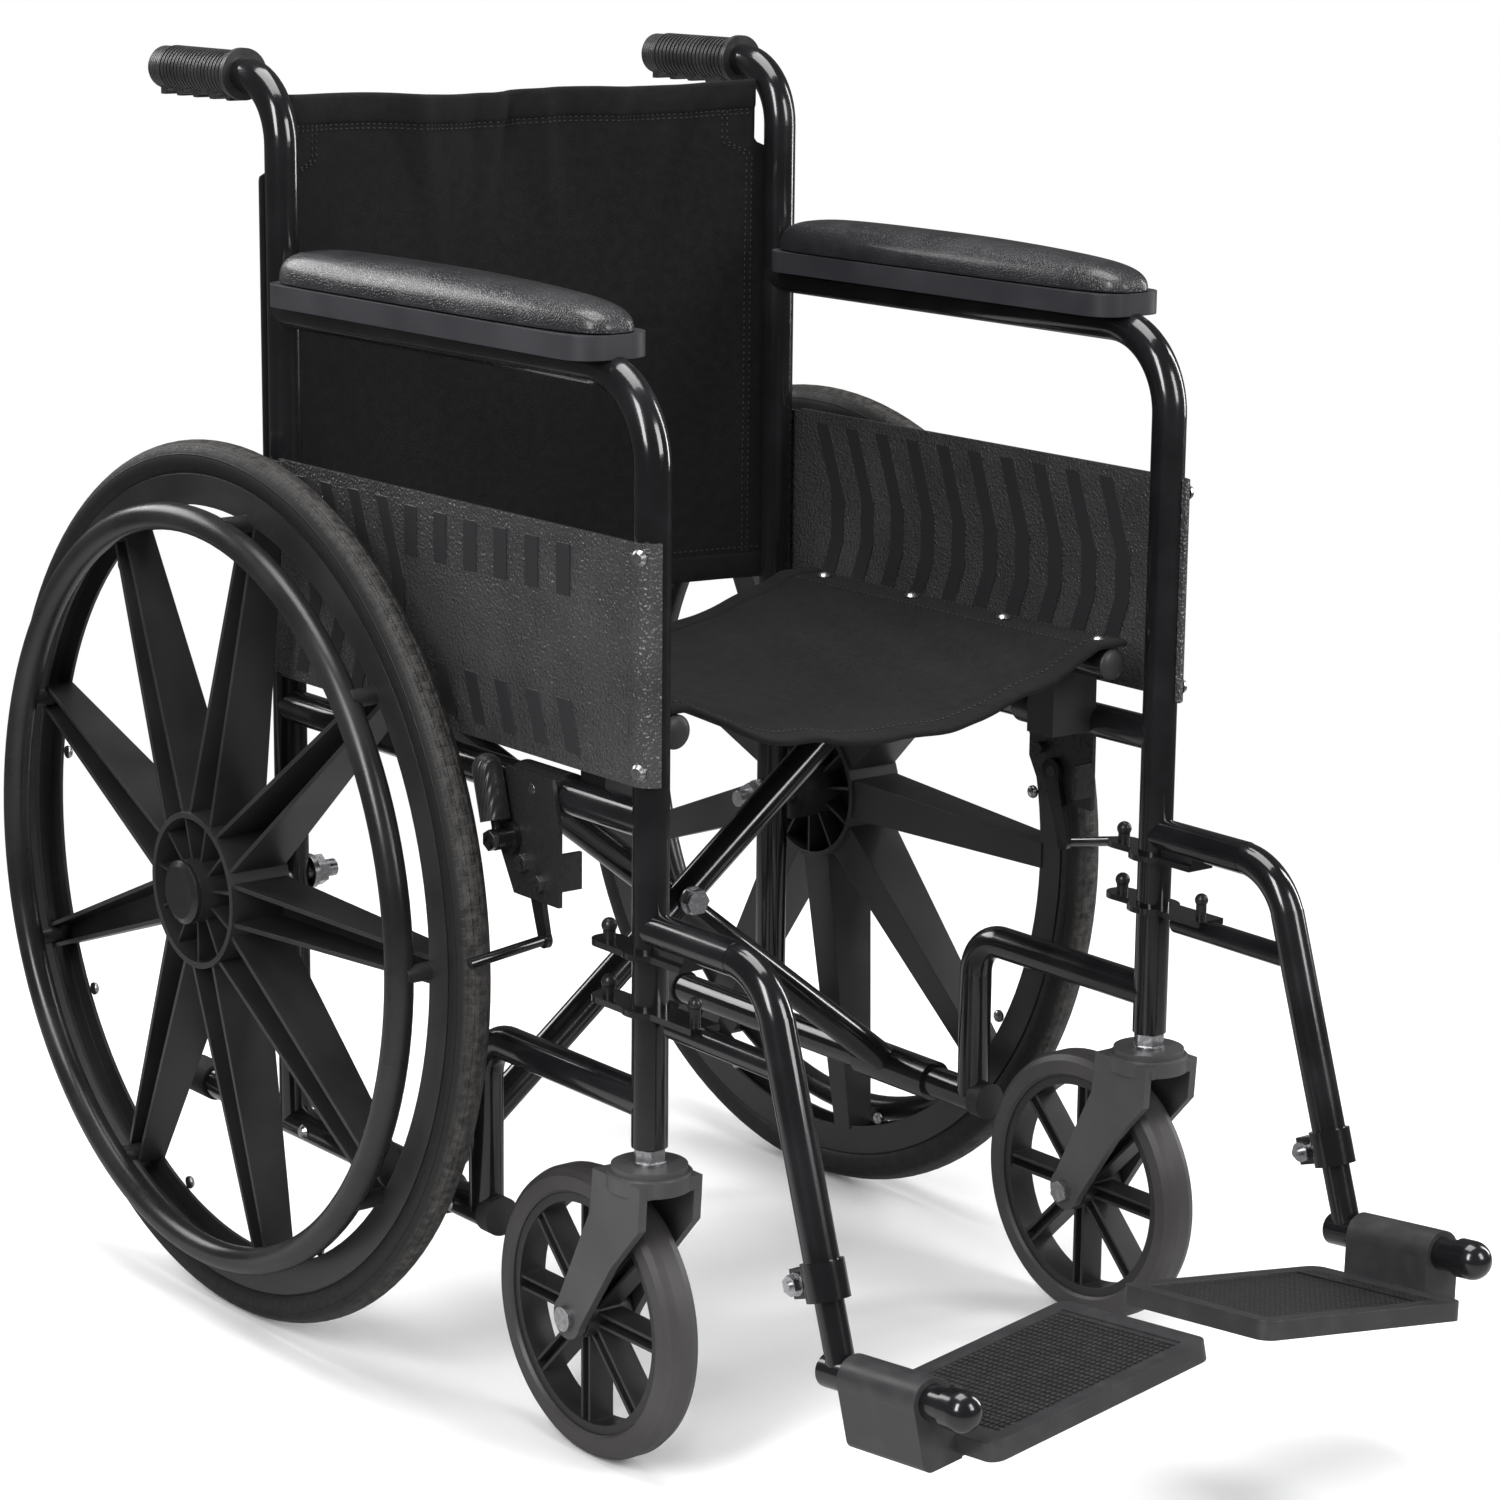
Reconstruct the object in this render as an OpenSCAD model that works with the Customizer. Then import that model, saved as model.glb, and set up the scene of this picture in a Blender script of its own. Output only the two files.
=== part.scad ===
// Folding manual wheelchair: two tubular side frames joined by a folding cross brace,
// spoked rear wheels with handrims, trailing front casters, swing-away footrests,
// push-to-lock brakes, moulded side panels and sling seat and back.
// Millimetres. Z up, front towards -Y, the sitter's left towards +X.

/* [Frame] */
// Distance between the centres of the two side frames when open
frame_width = 422; // [380:2:520]
// Distance from the rear axle forward to the front upright
front_set = 418; // [380:2:460]
// Outside diameter of the frame tubes
tube_diameter = 23; // [20:0.5:28]
// Wall thickness of the frame tubes
tube_wall = 2; // [1.2:0.1:3]
// Height of the push grip centre line
grip_height = 850; // [800:5:980]
// Height of the arm tube centre line
arm_height = 696; // [640:2:760]
// Height of the side rail centre line
rail_height = 425; // [390:1:450]
// Height of the lower rail centre line
lower_height = 127; // [110:1:150]
// Distance from the lower end of the front upright up to the stub that carries the lower rail
stub_rise = 28; // [22:1:50]
// Centre line radius of the bend into the push grip
grip_bend = 45; // [40:1:60]
// Centre line radius of the bend at the front of the arm
arm_bend = 56; // [40:1:80]

/* [Rear wheels] */
// Outside diameter of the rear tyres
wheel_diameter = 610; // [560:5:640]
// Width of the rear tyre
tyre_width = 26; // [22:1:32]
// Number of moulded spokes in a rear wheel
wheel_spokes = 9; // [6:1:12]
// Diameter of the handrim tube
handrim_tube = 19; // [16:0.5:22]
// Number of thin ribs between the hub boss and the hub ring
hub_ribs = 11; // [7:1:15]

/* [Casters] */
// Outside diameter of the caster tyres
caster_diameter = 190; // [150:5:203]
// Distance the caster axle trails behind its stem
caster_trail = 55; // [45:1:60]
// Width of the caster tyre
caster_width = 26; // [20:1:32]
// Number of double ribs in a caster wheel
caster_spokes = 8; // [5:1:10]

/* [Seat and back] */
// Height of the seat rail centre line
seat_rail_height = 474; // [455:1:500]
// Distance of the seat rail inboard of the side frame
seat_rail_inset = 30; // [28:1:36]
// Depth of the sag across the middle of the seat
seat_sag = 34; // [10:1:50]
// Height of the top edge of the back upholstery
back_top = 838; // [780:2:900]
// Depth of the hollow across the middle of the back upholstery
back_sag = 22; // [8:1:40]
// Width of an arm pad
pad_width = 58; // [45:1:70]
// Length of an arm pad
pad_length = 368; // [250:2:380]

/* [Footrests] */
// Distance the footrest hanger reaches forward of the front upright
hanger_reach = 116; // [90:1:140]
// Height of the hanger top tube centre line
hanger_height = 358; // [340:1:370]
// Angle of the hanger drop tube from the vertical
hanger_slope = 18.4; // [10:0.1:25]
// Length from the hanger corner to the clamp at its lower end
hanger_drop = 196; // [170:1:215]
// Length of footrest tube showing below the clamp
foot_drop = 44; // [38:1:60]
// Reach of a footplate from its hinge towards the middle
plate_reach = 186; // [150:1:188]
// Front to back length of a footplate
plate_length = 129; // [110:1:150]
// Upward tilt of a footplate towards the middle
plate_tilt = 8; // [0:1:12]
// Upward slope of the footplate hinge towards the front
hinge_rise = 6; // [0:0.5:15]

/* [Hidden] */
$fn = 48;
half = frame_width / 2;
tube_r = tube_diameter / 2;
run = 0.05;
gap = 0.3;
wheel_r = wheel_diameter / 2;
tyre_r = tyre_width / 2;
wheel_x = half + tube_r + 36.5;
rim_out = wheel_r - 22;
rim_in = rim_out - 21;
spoke_in = 50.5;
hub_r = 22;
hub_ring = 54;
hub_back = -32;
hub_face = 37;
handrim_x = 30;
handrim_r = handrim_tube / 2;
handrim_c = rim_in - 6;
axle_r = 6;
axle_in = half - tube_r - 22;
caster_r = caster_diameter / 2;
caster_y = caster_trail - front_set;
fork_gap = caster_width / 2 + 5;
fork_arm = 6;
fork_top = caster_diameter + 3;
front_bottom = fork_top + 26;
drop_height = front_bottom + stub_rise;
caster_bolt_r = 4;
stem_r = 6;
grip_start = grip_bend + 1;
grip_length = 111;
rail_tip = 134;
rail_front = -252;
drop_y = -238;
drop_bend = 28;
seat_rail_r = 11;
seat_x = half - seat_rail_inset;
seat_front = -402;
seat_rear = -58;
cross_r = 11;
cross_y_a = -145;
cross_y_b = -168;
hinge_rear = -115;
hinge_front = -195;
rail_screw_ys = [-28, -210];
brace_top = seat_rail_height - 40;
cross_dx = 2 * half - seat_rail_inset;
cross_dz = brace_top - lower_height;
pivot_z = lower_height + half * cross_dz / cross_dx;
bolt_r = 5;
screw_ys = [-96, -194, -292, -388];
seat_thick = 3.5;
seat_over = seat_rail_height + seat_rail_r + gap;
back_thick = 3;
back_y = tube_r + gap;
back_foot = 470;
panel_low = 449;
panel_high = 598;
panel_x = half + tube_r + 0.2;
panel_thick = 3;
wrap_thick = 3.4;
wrap_screw = -22;
pad_start = -16;
base_low = arm_height + tube_r - 5;
base_high = arm_height + tube_r + 10;
pad_low = base_high + gap;
pad_high = pad_low + 24;
hanger_r = 11;
hanger_bend = 45;
slide_r = 9;
corner_y = -front_set - hanger_reach;
foot_len = hanger_drop + foot_drop;
foot_y = corner_y - foot_len * sin(hanger_slope);
foot_z = hanger_height - foot_len * cos(hanger_slope);
pivot_r = 10.5;
cap_r = 12.5;
cap_at = 107;
bend_angle = 90 - hanger_slope;
bend_leg = hanger_bend * tan(bend_angle / 2);
seam = 3;
clamp_y = 20.6;
plate_up = 341;
plate_down = 305;
plate_t = 4;
plate_top = -24;
skirt = 12;
plate_back = 15;
brake_x = half + tube_r + 1;
lever_y = -290;
lever_z = 392;
lever_lean = 16;
lever_out = 12.4;
stud_long = 16;
brake_rear = -284;
brake_front = -334;
shoe_y = -304;
shoe_z = 378;
front_reach = -foot_y + cap_at * cos(hinge_rise) + cap_r;
mid_shift = (front_reach - wheel_r) / 2;

powder = [0.07, 0.07, 0.075];
zinc = [0.75, 0.76, 0.78];
rubber = [0.12, 0.12, 0.12];
plastic = [0.16, 0.16, 0.17];
cloth = [0.05, 0.05, 0.055];
vinyl = [0.09, 0.09, 0.1];

// ---- placing helpers ----

module at_side(side) {
    translate([0, mid_shift, 0])
        if (side < 0) mirror([1, 0, 0]) children();
        else children();
}

module at_middle() {
    translate([0, mid_shift, 0]) children();
}

module rod(a, b, r) {
    v = b - a;
    long = norm(v);
    translate(a)
        rotate([0, acos(v[2] / long), atan2(v[1], v[0])])
            cylinder(h = long, r = r);
}

// Bend in the plane facing X, angles counted from +Y towards +Z
module bend(x, y, z, radius, r, from, to) {
    translate([x, y, z])
        rotate([90, 0, 90])
            rotate([0, 0, from])
                rotate_extrude(angle = to - from)
                    translate([radius, 0]) circle(r);
}

module slab(wide, long, high, corner) {
    linear_extrude(high) {
        square([wide - 2 * corner, long], center = true);
        square([wide, long - 2 * corner], center = true);
        for (x = [-1, 1], y = [-1, 1])
            translate([x * (wide / 2 - corner), y * (long / 2 - corner)]) circle(corner);
    }
}

module across(x, y, z, long, r) {
    translate([x, y, z]) rotate([0, 90, 0]) cylinder(h = long, r = r);
}

module hex_across(x, y, z, long, flat_r) {
    translate([x, y, z]) rotate([0, 90, 0]) cylinder(h = long, r = flat_r, $fn = 6);
}

// Frame centred on the front upright, turned to where the side panel's wrap is screwed on
module at_wrap() {
    translate([half, -front_set, 0]) rotate([0, 0, wrap_screw]) children();
}

// ---- side frame tubes ----

module cane_run(r, over) {
    translate([0, 0, lower_height - over])
        cylinder(h = grip_height - grip_bend - lower_height + over, r = r);
    bend(0, grip_bend, grip_height - grip_bend, grip_bend, r, 90, 180);
    rod([0, grip_bend, grip_height], [0, grip_start + grip_length - 8 + over, grip_height], r);
}

module cane() {
    difference() {
        translate([half, 0, 0])
            difference() {
                cane_run(tube_r, 0);
                cane_run(tube_r - tube_wall, 1);
            }
        rod([half, -40, lower_height], [half, 40, lower_height], tube_r);
        across(half - 40, 0, wheel_r, 80, axle_r);
        for (z = [panel_low + 9, panel_high - 9]) across(half, 0, z, 40, 2);
    }
}

module arm_run(r, over) {
    rod([0, over, arm_height], [0, arm_bend - front_set, arm_height], r);
    bend(0, arm_bend - front_set, arm_height - arm_bend, arm_bend, r, 90, 180);
    translate([0, -front_set, front_bottom - over])
        cylinder(h = arm_height - arm_bend - front_bottom + over, r = r);
}

module arm_tube() {
    difference() {
        translate([half, 0, 0])
            difference() {
                arm_run(tube_r, 0);
                arm_run(tube_r - tube_wall, 1);
            }
        translate([half, 0, arm_height - 40]) cylinder(h = 80, r = tube_r);
        at_wrap() for (z = [panel_low + 9, panel_high - 9]) across(0, 0, z, 40, 2);
    }
}

module drop_run(r, over) {
    rod([0, -front_set, drop_height], [0, drop_y - drop_bend, drop_height], r);
    bend(0, drop_y - drop_bend, drop_height - drop_bend, drop_bend, r, 0, 90);
    translate([0, drop_y, lower_height])
        cylinder(h = drop_height - drop_bend - lower_height, r = r);
}

module lower_run(r, over) {
    rod([0, rail_tip + over, lower_height], [0, rail_front - over, lower_height], r);
    drop_run(r, over);
}

module rails() {
    difference() {
        translate([half, 0, 0]) {
            difference() {
                union() {
                    lower_run(tube_r, 0);
                    rod([0, 0, rail_height], [0, -front_set, rail_height], tube_r);
                }
                lower_run(tube_r - tube_wall, 1);
                rod([0, 0, rail_height], [0, -front_set, rail_height], tube_r - tube_wall);
            }
        }
        translate([half, 0, rail_height - 40]) cylinder(h = 80, r = tube_r);
        translate([half, -front_set, drop_height - 40])
            cylinder(h = rail_height - drop_height + 80, r = tube_r);
        for (y = rail_screw_ys) across(half, y, lower_height, 40, 2);
    }
}

module grip() {
    translate([half, grip_start, grip_height])
        rotate([-90, 0, 0])
            difference() {
                union() {
                    cylinder(h = grip_length - 6, r = 14.6);
                    translate([0, 0, grip_length - 6]) cylinder(h = 6, r1 = 14.6, r2 = 10);
                    cylinder(h = 5, r = 17.5);
                    for (i = [0 : 17]) translate([0, 0, 10 + i * 4.6]) cylinder(h = 2.4, r = 15.5);
                    translate([-7, 0, 8]) cube([14, 18, grip_length - 18]);
                }
                translate([0, 0, -1]) cylinder(h = grip_length - 7, r = tube_r);
                for (i = [0 : 3])
                    translate([-30, 23.5, 21 + i * 22])
                        rotate([0, 90, 0]) cylinder(h = 60, r = 10);
            }
}

module arm_base() {
    difference() {
        translate([half, pad_start - pad_length / 2, base_low])
            slab(pad_width, pad_length, base_high - base_low, 20);
        rod([half, 10, arm_height], [half, arm_bend - front_set, arm_height], tube_r);
        translate([half, 0, 0])
            bend(0, arm_bend - front_set, arm_height - arm_bend, arm_bend, tube_r, 85, 125);
    }
}

module arm_pad() {
    crown = 56;
    intersection() {
        translate([half, pad_start - pad_length / 2, pad_low])
            slab(pad_width, pad_length, pad_high - pad_low, 20);
        translate([half, 20, pad_high - crown])
            rotate([90, 0, 0]) cylinder(h = pad_length + 60, r = crown, $fn = 96);
    }
}

// One smooth chevron bar, its point towards the front
module chevron(y, face, thick) {
    mid = (panel_low + panel_high) / 2;
    translate([face, y, 0])
        rotate([90, 0, 90])
            linear_extrude(thick)
                polygon([
                    [0, panel_high - 8], [-14, panel_high - 8], [-33, mid + 16],
                    [-33, mid - 16], [-14, panel_low + 8], [0, panel_low + 8],
                    [-19, mid - 16], [-19, mid + 16]
                ]);
}

module short_bar(y, z, lean, face) {
    translate([face, y, z])
        rotate([90, 0, 90])
            linear_extrude(1.2)
                polygon([[0, 0], [-14, 0], [-14 - lean, 32], [-lean, 32]]);
}

module wrap_outline() {
    far = 3 * tube_r;
    intersection() {
        difference() {
            circle(panel_x - half + wrap_thick);
            circle(panel_x - half);
        }
        polygon([[0, 0], [far * cos(78), -far * sin(78)], [far, -far], [far * cos(15), far * sin(15)]]);
    }
}

module side_panel() {
    high = panel_high - panel_low;
    difference() {
        union() {
            translate([0, 0, panel_low])
                linear_extrude(high) {
                    translate([panel_x, 2 - front_set]) square([panel_thick, front_set - 16]);
                    translate([half, -front_set]) wrap_outline();
                }
            translate([panel_x, -16, panel_low + 2]) cube([panel_thick, 24, high - 4]);
            for (i = [0 : 9]) chevron(-34 - i * 34, panel_x - 0.8, 1.2);
            for (i = [0 : 3]) chevron(-34 - i * 34, panel_x + panel_thick - 0.4, 1.2);
            for (i = [4 : 9]) {
                short_bar(-45 - i * 34, panel_low + 10, -11, panel_x + panel_thick - 0.4);
                short_bar(-34 - i * 34, panel_high - 42, 0, panel_x + panel_thick - 0.4);
            }
        }
        for (z = [panel_low + 9, panel_high - 9]) {
            across(half, 0, z, 40, 2);
            at_wrap() across(0, 0, z, 40, 2);
        }
    }
}

module seat_saddles() {
    for (y = [-112, -362])
        difference() {
            translate([seat_x - 15, y, rail_height - 6])
                cube([seat_rail_inset + 9, 26, seat_rail_height - rail_height + 4]);
            rod([half, 0, rail_height], [half, -front_set, rail_height], tube_r);
            rod([seat_x, 0, seat_rail_height], [seat_x, -front_set, seat_rail_height],
                seat_rail_r + gap);
        }
}

module axle() {
    across(axle_in, 0, wheel_r, wheel_x + hub_face - 2 - axle_in, axle_r);
    difference() {
        union() {
            hex_across(half - tube_r - 12, 0, wheel_r, 8, 11);
            across(half - tube_r - 4, 0, wheel_r, 4, 12);
            across(half, 0, wheel_r, wheel_x + hub_back - half - gap, 10);
        }
        translate([half, 0, wheel_r - 40]) cylinder(h = 80, r = tube_r);
    }
    hex_across(wheel_x + 25, 0, wheel_r, 8, 10);
}

module rail_caps() {
    difference() {
        union() {
            rod([half, rail_tip - 26, lower_height], [half, rail_tip + 3, lower_height], tube_r + 2);
            rod([half, rail_front + 8, lower_height], [half, rail_front - 4, lower_height],
                tube_r + 1.5);
        }
        rod([half, rail_tip, lower_height], [half, rail_front, lower_height], tube_r);
        translate([half, drop_y, lower_height]) cylinder(h = 60, r = tube_r + gap);
    }
}

module pan_screw(x, y, z) {
    across(x - 6, y, z, 6.5, 2);
    translate([x, y, z]) rotate([0, 90, 0]) cylinder(h = 2.6, r1 = 5.4, r2 = 3.4);
}

module frame_screws() {
    for (z = [panel_low + 9, panel_high - 9]) {
        pan_screw(panel_x + panel_thick, 0, z);
        at_wrap() pan_screw(panel_x - half + wrap_thick, 0, z);
    }
    for (y = rail_screw_ys) pan_screw(half + tube_r, y, lower_height);
    hex_across(brake_x + 2, shoe_y, shoe_z, 4, 6);
    hex_across(brake_x + 2, shoe_y - 18, shoe_z - 10, 4, 5.5);
    hex_across(brake_x + stud_long, lever_y, lever_z, 4, 7);
}

// ---- rear wheel ----

module wheel_frame() {
    translate([wheel_x, 0, wheel_r]) rotate([0, 90, 0]) children();
}

module spoke() {
    far = rim_in + 2;
    taper = atan2(6, far - spoke_in);
    translate([0, 0, -12])
        linear_extrude(4)
            polygon([[spoke_in, -15], [far, -9], [far, 9], [spoke_in, 15]]);
    for (s = [-1, 1])
        translate([spoke_in, s * 13.5, 0])
            rotate([90, 0, -s * taper])
                translate([0, 0, -1.5])
                    linear_extrude(3)
                        polygon([[0, -12], [far - spoke_in, -10], [far - spoke_in, 9], [0, 30]]);
}

module wheel() {
    wheel_frame()
        difference() {
            union() {
                rotate_extrude($fn = 128)
                    polygon([
                        [rim_in, -11], [rim_out, -11], [rim_out, 11], [rim_in, 11],
                        [rim_in, 8.6], [rim_out - 6, 8.6], [rim_out - 6, -8.6], [rim_in, -8.6]
                    ]);
                difference() {
                    translate([0, 0, -14]) cylinder(h = 46, r = hub_ring);
                    translate([0, 0, -15]) cylinder(h = 19, r = hub_ring - 4);
                    translate([0, 0, 8]) cylinder(h = 60, r = hub_ring - 4);
                }
                translate([0, 0, hub_back]) cylinder(h = hub_face - hub_back, r = hub_r);
                for (i = [0 : hub_ribs - 1])
                    rotate([0, 0, i * 360 / hub_ribs])
                        translate([hub_r - 2, -1, -12]) cube([hub_ring - hub_r, 2, 40]);
                for (i = [0 : wheel_spokes - 1])
                    rotate([0, 0, 270 + i * 360 / wheel_spokes]) {
                        spoke();
                        translate([rim_in - 1, 0, 4]) cylinder(h = handrim_x - 4, r = 6);
                    }
            }
            translate([0, 0, hub_back - 1]) cylinder(h = 90, r = axle_r + run);
            translate([0, 0, 22]) cylinder(h = 30, r = 13);
            rotate_extrude($fn = 96)
                translate([handrim_c, handrim_x]) circle(handrim_r);
        }
}

module tyre() {
    wheel_frame()
        difference() {
            rotate_extrude($fn = 128)
                union() {
                    translate([wheel_r - tyre_r, 0]) circle(tyre_r);
                    translate([rim_out, -10]) square([8, 20]);
                }
            translate([0, 0, -30]) cylinder(h = 60, r = rim_out, $fn = 128);
        }
}

module handrim() {
    wheel_frame()
        rotate_extrude($fn = 96)
            translate([handrim_c, handrim_x]) circle(handrim_r);
}

module hub_cap() {
    wheel_frame() {
        translate([0, 0, hub_face]) cylinder(h = 3, r = hub_r);
        translate([0, 0, hub_face + 3]) cylinder(h = 2.5, r1 = hub_r, r2 = hub_r - 4);
    }
}

// ---- caster ----

module caster_fork() {
    difference() {
        translate([half, -front_set, 0]) {
            for (x = [-fork_gap - fork_arm, fork_gap])
                translate([x, 0, 0])
                    rotate([90, 0, 90])
                        linear_extrude(fork_arm) {
                            polygon([
                                [-23, fork_top + 9], [27, fork_top + 9], [30, fork_top - 20],
                                [caster_trail + 13, caster_r + 3], [caster_trail - 11, caster_r - 7],
                                [8, fork_top - 52], [-21, fork_top - 20]
                            ]);
                            translate([caster_trail, caster_r]) circle(14);
                        }
            translate([-fork_gap - 1, -23, fork_top])
                cube([2 * fork_gap + 2, 50, 9]);
            translate([0, 0, fork_top + 8]) cylinder(h = 3, r1 = 27, r2 = 26);
            translate([0, 0, fork_top + 10]) cylinder(h = 5, r = 24);
            translate([0, 0, fork_top]) cylinder(h = 10, r = 27);
        }
        translate([half, -front_set, fork_top - 20]) cylinder(h = 60, r = stem_r);
        across(half - 60, caster_y, caster_r, 120, caster_bolt_r);
    }
}

module caster_bolts() {
    translate([half, -front_set, fork_top]) {
        cylinder(h = 52, r = stem_r);
        translate([0, 0, 15]) cylinder(h = 2, r = 11);
        translate([0, 0, 17]) cylinder(h = 8, r = 10.5, $fn = 6);
    }
    wide = fork_gap + fork_arm;
    across(half - wide - 3, caster_y, caster_r, 2 * wide + 6, caster_bolt_r);
    across(half + wide, caster_y, caster_r, 4, 8);
    hex_across(half - wide - 6, caster_y, caster_r, 6, 8);
}

module caster_frame() {
    translate([half, caster_y, caster_r]) rotate([0, 90, 0]) children();
}

module caster_wheel() {
    rim = caster_r - 17;
    caster_frame()
        difference() {
            union() {
                rotate_extrude($fn = 64)
                    polygon([[rim - 6, -10], [rim, -10], [rim, 10], [rim - 6, 10]]);
                translate([0, 0, -fork_gap + 1]) cylinder(h = 2 * fork_gap - 2, r = 15);
                for (i = [0 : caster_spokes - 1])
                    rotate([0, 0, i * 360 / caster_spokes]) {
                        translate([12, -5, -9]) cube([rim - 15, 2.2, 18]);
                        translate([12, 2.8, -9]) cube([rim - 15, 2.2, 18]);
                        translate([12, -4, -1.5]) cube([rim - 15, 8, 3]);
                    }
            }
            translate([0, 0, -40]) cylinder(h = 80, r = caster_bolt_r + run);
        }
}

module caster_tyre() {
    wide = caster_width / 2;
    caster_frame()
        rotate_extrude($fn = 96)
            polygon([
                [caster_r - 17, -wide + 2], [caster_r - 15, -wide], [caster_r - 6, -wide],
                [caster_r - 2, -wide + 3], [caster_r, -wide + 8], [caster_r, wide - 8],
                [caster_r - 2, wide - 3], [caster_r - 6, wide], [caster_r - 15, wide],
                [caster_r - 17, wide - 2]
            ]);
}

// ---- footrest hanger ----

// Origin on the footplate hinge, the footrest tube rising along Z
module foot_frame() {
    translate([half, foot_y, foot_z]) rotate([-hanger_slope, 0, 0]) children();
}

// Origin on the footplate hinge, front along the hinge towards -Y
module hinge_frame() {
    translate([half, foot_y, foot_z]) rotate([-hinge_rise, 0, 0]) children();
}

// The bent length is drawn a little slimmer, so the straight lengths close over its ends
module hanger_run(r, over) {
    rod([half, -front_set - 20 * over, hanger_height],
        [half, corner_y + bend_leg - seam, hanger_height], r);
    translate([half, corner_y + bend_leg, hanger_height - hanger_bend])
        rotate([90, 0, 90])
            rotate([0, 0, 90]) {
                rotate_extrude(angle = bend_angle) translate([hanger_bend, 0]) circle(r - gap);
                rotate([0, 0, bend_angle])
                    translate([hanger_bend, -seam, 0])
                        rotate([-90, 0, 0])
                            cylinder(h = hanger_drop - bend_leg + 6 * over, r = r);
            }
}

module ring_plate(z, front) {
    translate([half, -front_set, z])
        linear_extrude(plate_t) {
            circle(18);
            translate([-11, -front]) square([22, front]);
            translate([-6, 0]) square([22, 36]);
            translate([5, 36]) circle(11);
        }
}

module hanger() {
    difference() {
        union() {
            hanger_run(hanger_r, 0);
            foot_frame() translate([0, 0, foot_drop]) cylinder(h = 23, r = 13.5);
            foot_frame() translate([-5, 8, foot_drop + 2]) cube([10, 19, 18]);
            ring_plate(plate_up, 44);
            translate([half - 8, -front_set - 44, plate_up])
                cube([16, 30, hanger_height - plate_up]);
            ring_plate(plate_down, 56);
            rod([half, -front_set - 24, plate_down - 4],
                [half, corner_y - 19, hanger_height - 58], 7.5);
        }
        hanger_run(slide_r, 1);
        translate([half, -front_set, 200]) cylinder(h = 300, r = tube_r + run);
        foot_frame()
            translate([-20, clamp_y, foot_drop + 11]) rotate([0, 90, 0]) cylinder(h = 40, r = 3);
        for (z = [plate_down, plate_up])
            translate([half + 5, 36 - front_set, z - 1]) cylinder(h = 8, r = 4);
    }
}

module dome_pin(x, y, z, low, high, r, head) {
    translate([x, y, z - low]) cylinder(h = low + high, r = r);
    translate([x, y, z + high]) sphere(head);
}

module hanger_fittings() {
    foot_frame()
        translate([0, clamp_y, foot_drop + 11]) {
            rotate([0, 90, 0]) {
                translate([0, 0, -14]) cylinder(h = 28, r = 3);
                translate([0, 0, 5]) cylinder(h = 2, r = 7);
                translate([0, 0, 7]) cylinder(h = 5, r = 6.5, $fn = 6);
                translate([0, 0, -10]) cylinder(h = 5, r = 6.5);
            }
        }
    for (z = [plate_down, plate_up]) dome_pin(half + 5, 36 - front_set, z, 2, 12, 4, 5);
    dome_pin(half, -front_set - 46, plate_down + plate_t, 0, 12, 3.5, 4.5);
}

module footrest_tube() {
    difference() {
        union() {
            foot_frame() cylinder(h = foot_drop + 92, r = slide_r - run);
            hinge_frame() {
                translate([0, 13, 0]) rotate([90, 0, 0]) cylinder(h = cap_at + 13, r = pivot_r);
                translate([0, -cap_at + 9, 0]) rotate([90, 0, 0]) cylinder(h = 9, r = cap_r);
                translate([0, -cap_at, 0]) sphere(cap_r);
            }
        }
        foot_frame() translate([0, 0, 20]) cylinder(h = foot_drop + 92, r = 7);
    }
}

module housing_outline() {
    circle(14.5);
    translate([-14.3, plate_top - 10]) square([28.6, 10 - plate_top]);
    translate([-14.3, plate_top - 16]) square([22.6, 16 - plate_top]);
    translate([8.3, plate_top - 10]) circle(6);
}

module footplate() {
    inner = 12;
    hinge_frame()
        rotate([0, plate_tilt, 0])
            difference() {
                union() {
                    translate([0, -12, 0]) rotate([90, 0, 0]) linear_extrude(70) housing_outline();
                    translate([-(plate_reach + inner) / 2, plate_back - plate_length / 2, 0])
                        difference() {
                            translate([0, 0, plate_top - skirt])
                                slab(plate_reach - inner, plate_length, skirt, 9);
                            translate([0, 0, plate_top - skirt - 1])
                                slab(plate_reach - inner - 8, plate_length - 8, skirt - 6, 5);
                        }
                    for (i = [0 : 5])
                        translate([-plate_reach + 8, plate_back - 18 - i * 19, plate_top - skirt + 1])
                            cube([plate_reach - 20, 3, skirt - 7]);
                    translate([-30, -82, plate_top - 15]) cube([30, 70, 15]);
                }
                translate([0, 30, 0]) rotate([90, 0, 0]) cylinder(h = 160, r = pivot_r + run);
                translate([-plate_reach + 12, plate_back - plate_length + 12, plate_top - 1])
                    cube([plate_reach - 54, plate_length - 24, 4]);
                translate([-15, -76, plate_top - 20]) cube([24, 58, 18]);
            }
}

// ---- push-to-lock brake ----

module brake_bracket() {
    difference() {
        union() {
            rod([half, brake_rear, rail_height], [half, brake_front, rail_height], tube_r + 2.6);
            translate([brake_x - 1, 0, 0])
                rotate([90, 0, 90])
                    linear_extrude(3)
                        polygon([
                            [-341, lever_z - 36], [-292, lever_z - 36], [-276, lever_z - 8],
                            [-276, lever_z + 16], [brake_rear, rail_height + 12],
                            [brake_front, rail_height + 12], [-341, lever_z + 18]
                        ]);
            translate([brake_x - 16, -341, lever_z - 26]) cube([16, 3, 24]);
            across(half + 12, brake_front + 22, rail_height + 2, 2.9, 3.4);
        }
        rod([half, -200, rail_height], [half, -380, rail_height], tube_r);
    }
    across(brake_x - 6, lever_y, lever_z, 6 + stud_long, 4);
    across(brake_x - 6, shoe_y, shoe_z, 8, 4);
}

// Origin on the lever pivot, the lever rising along Z
module lever_frame() {
    translate([brake_x, lever_y, lever_z]) rotate([-lever_lean, 0, 0]) children();
}

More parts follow.
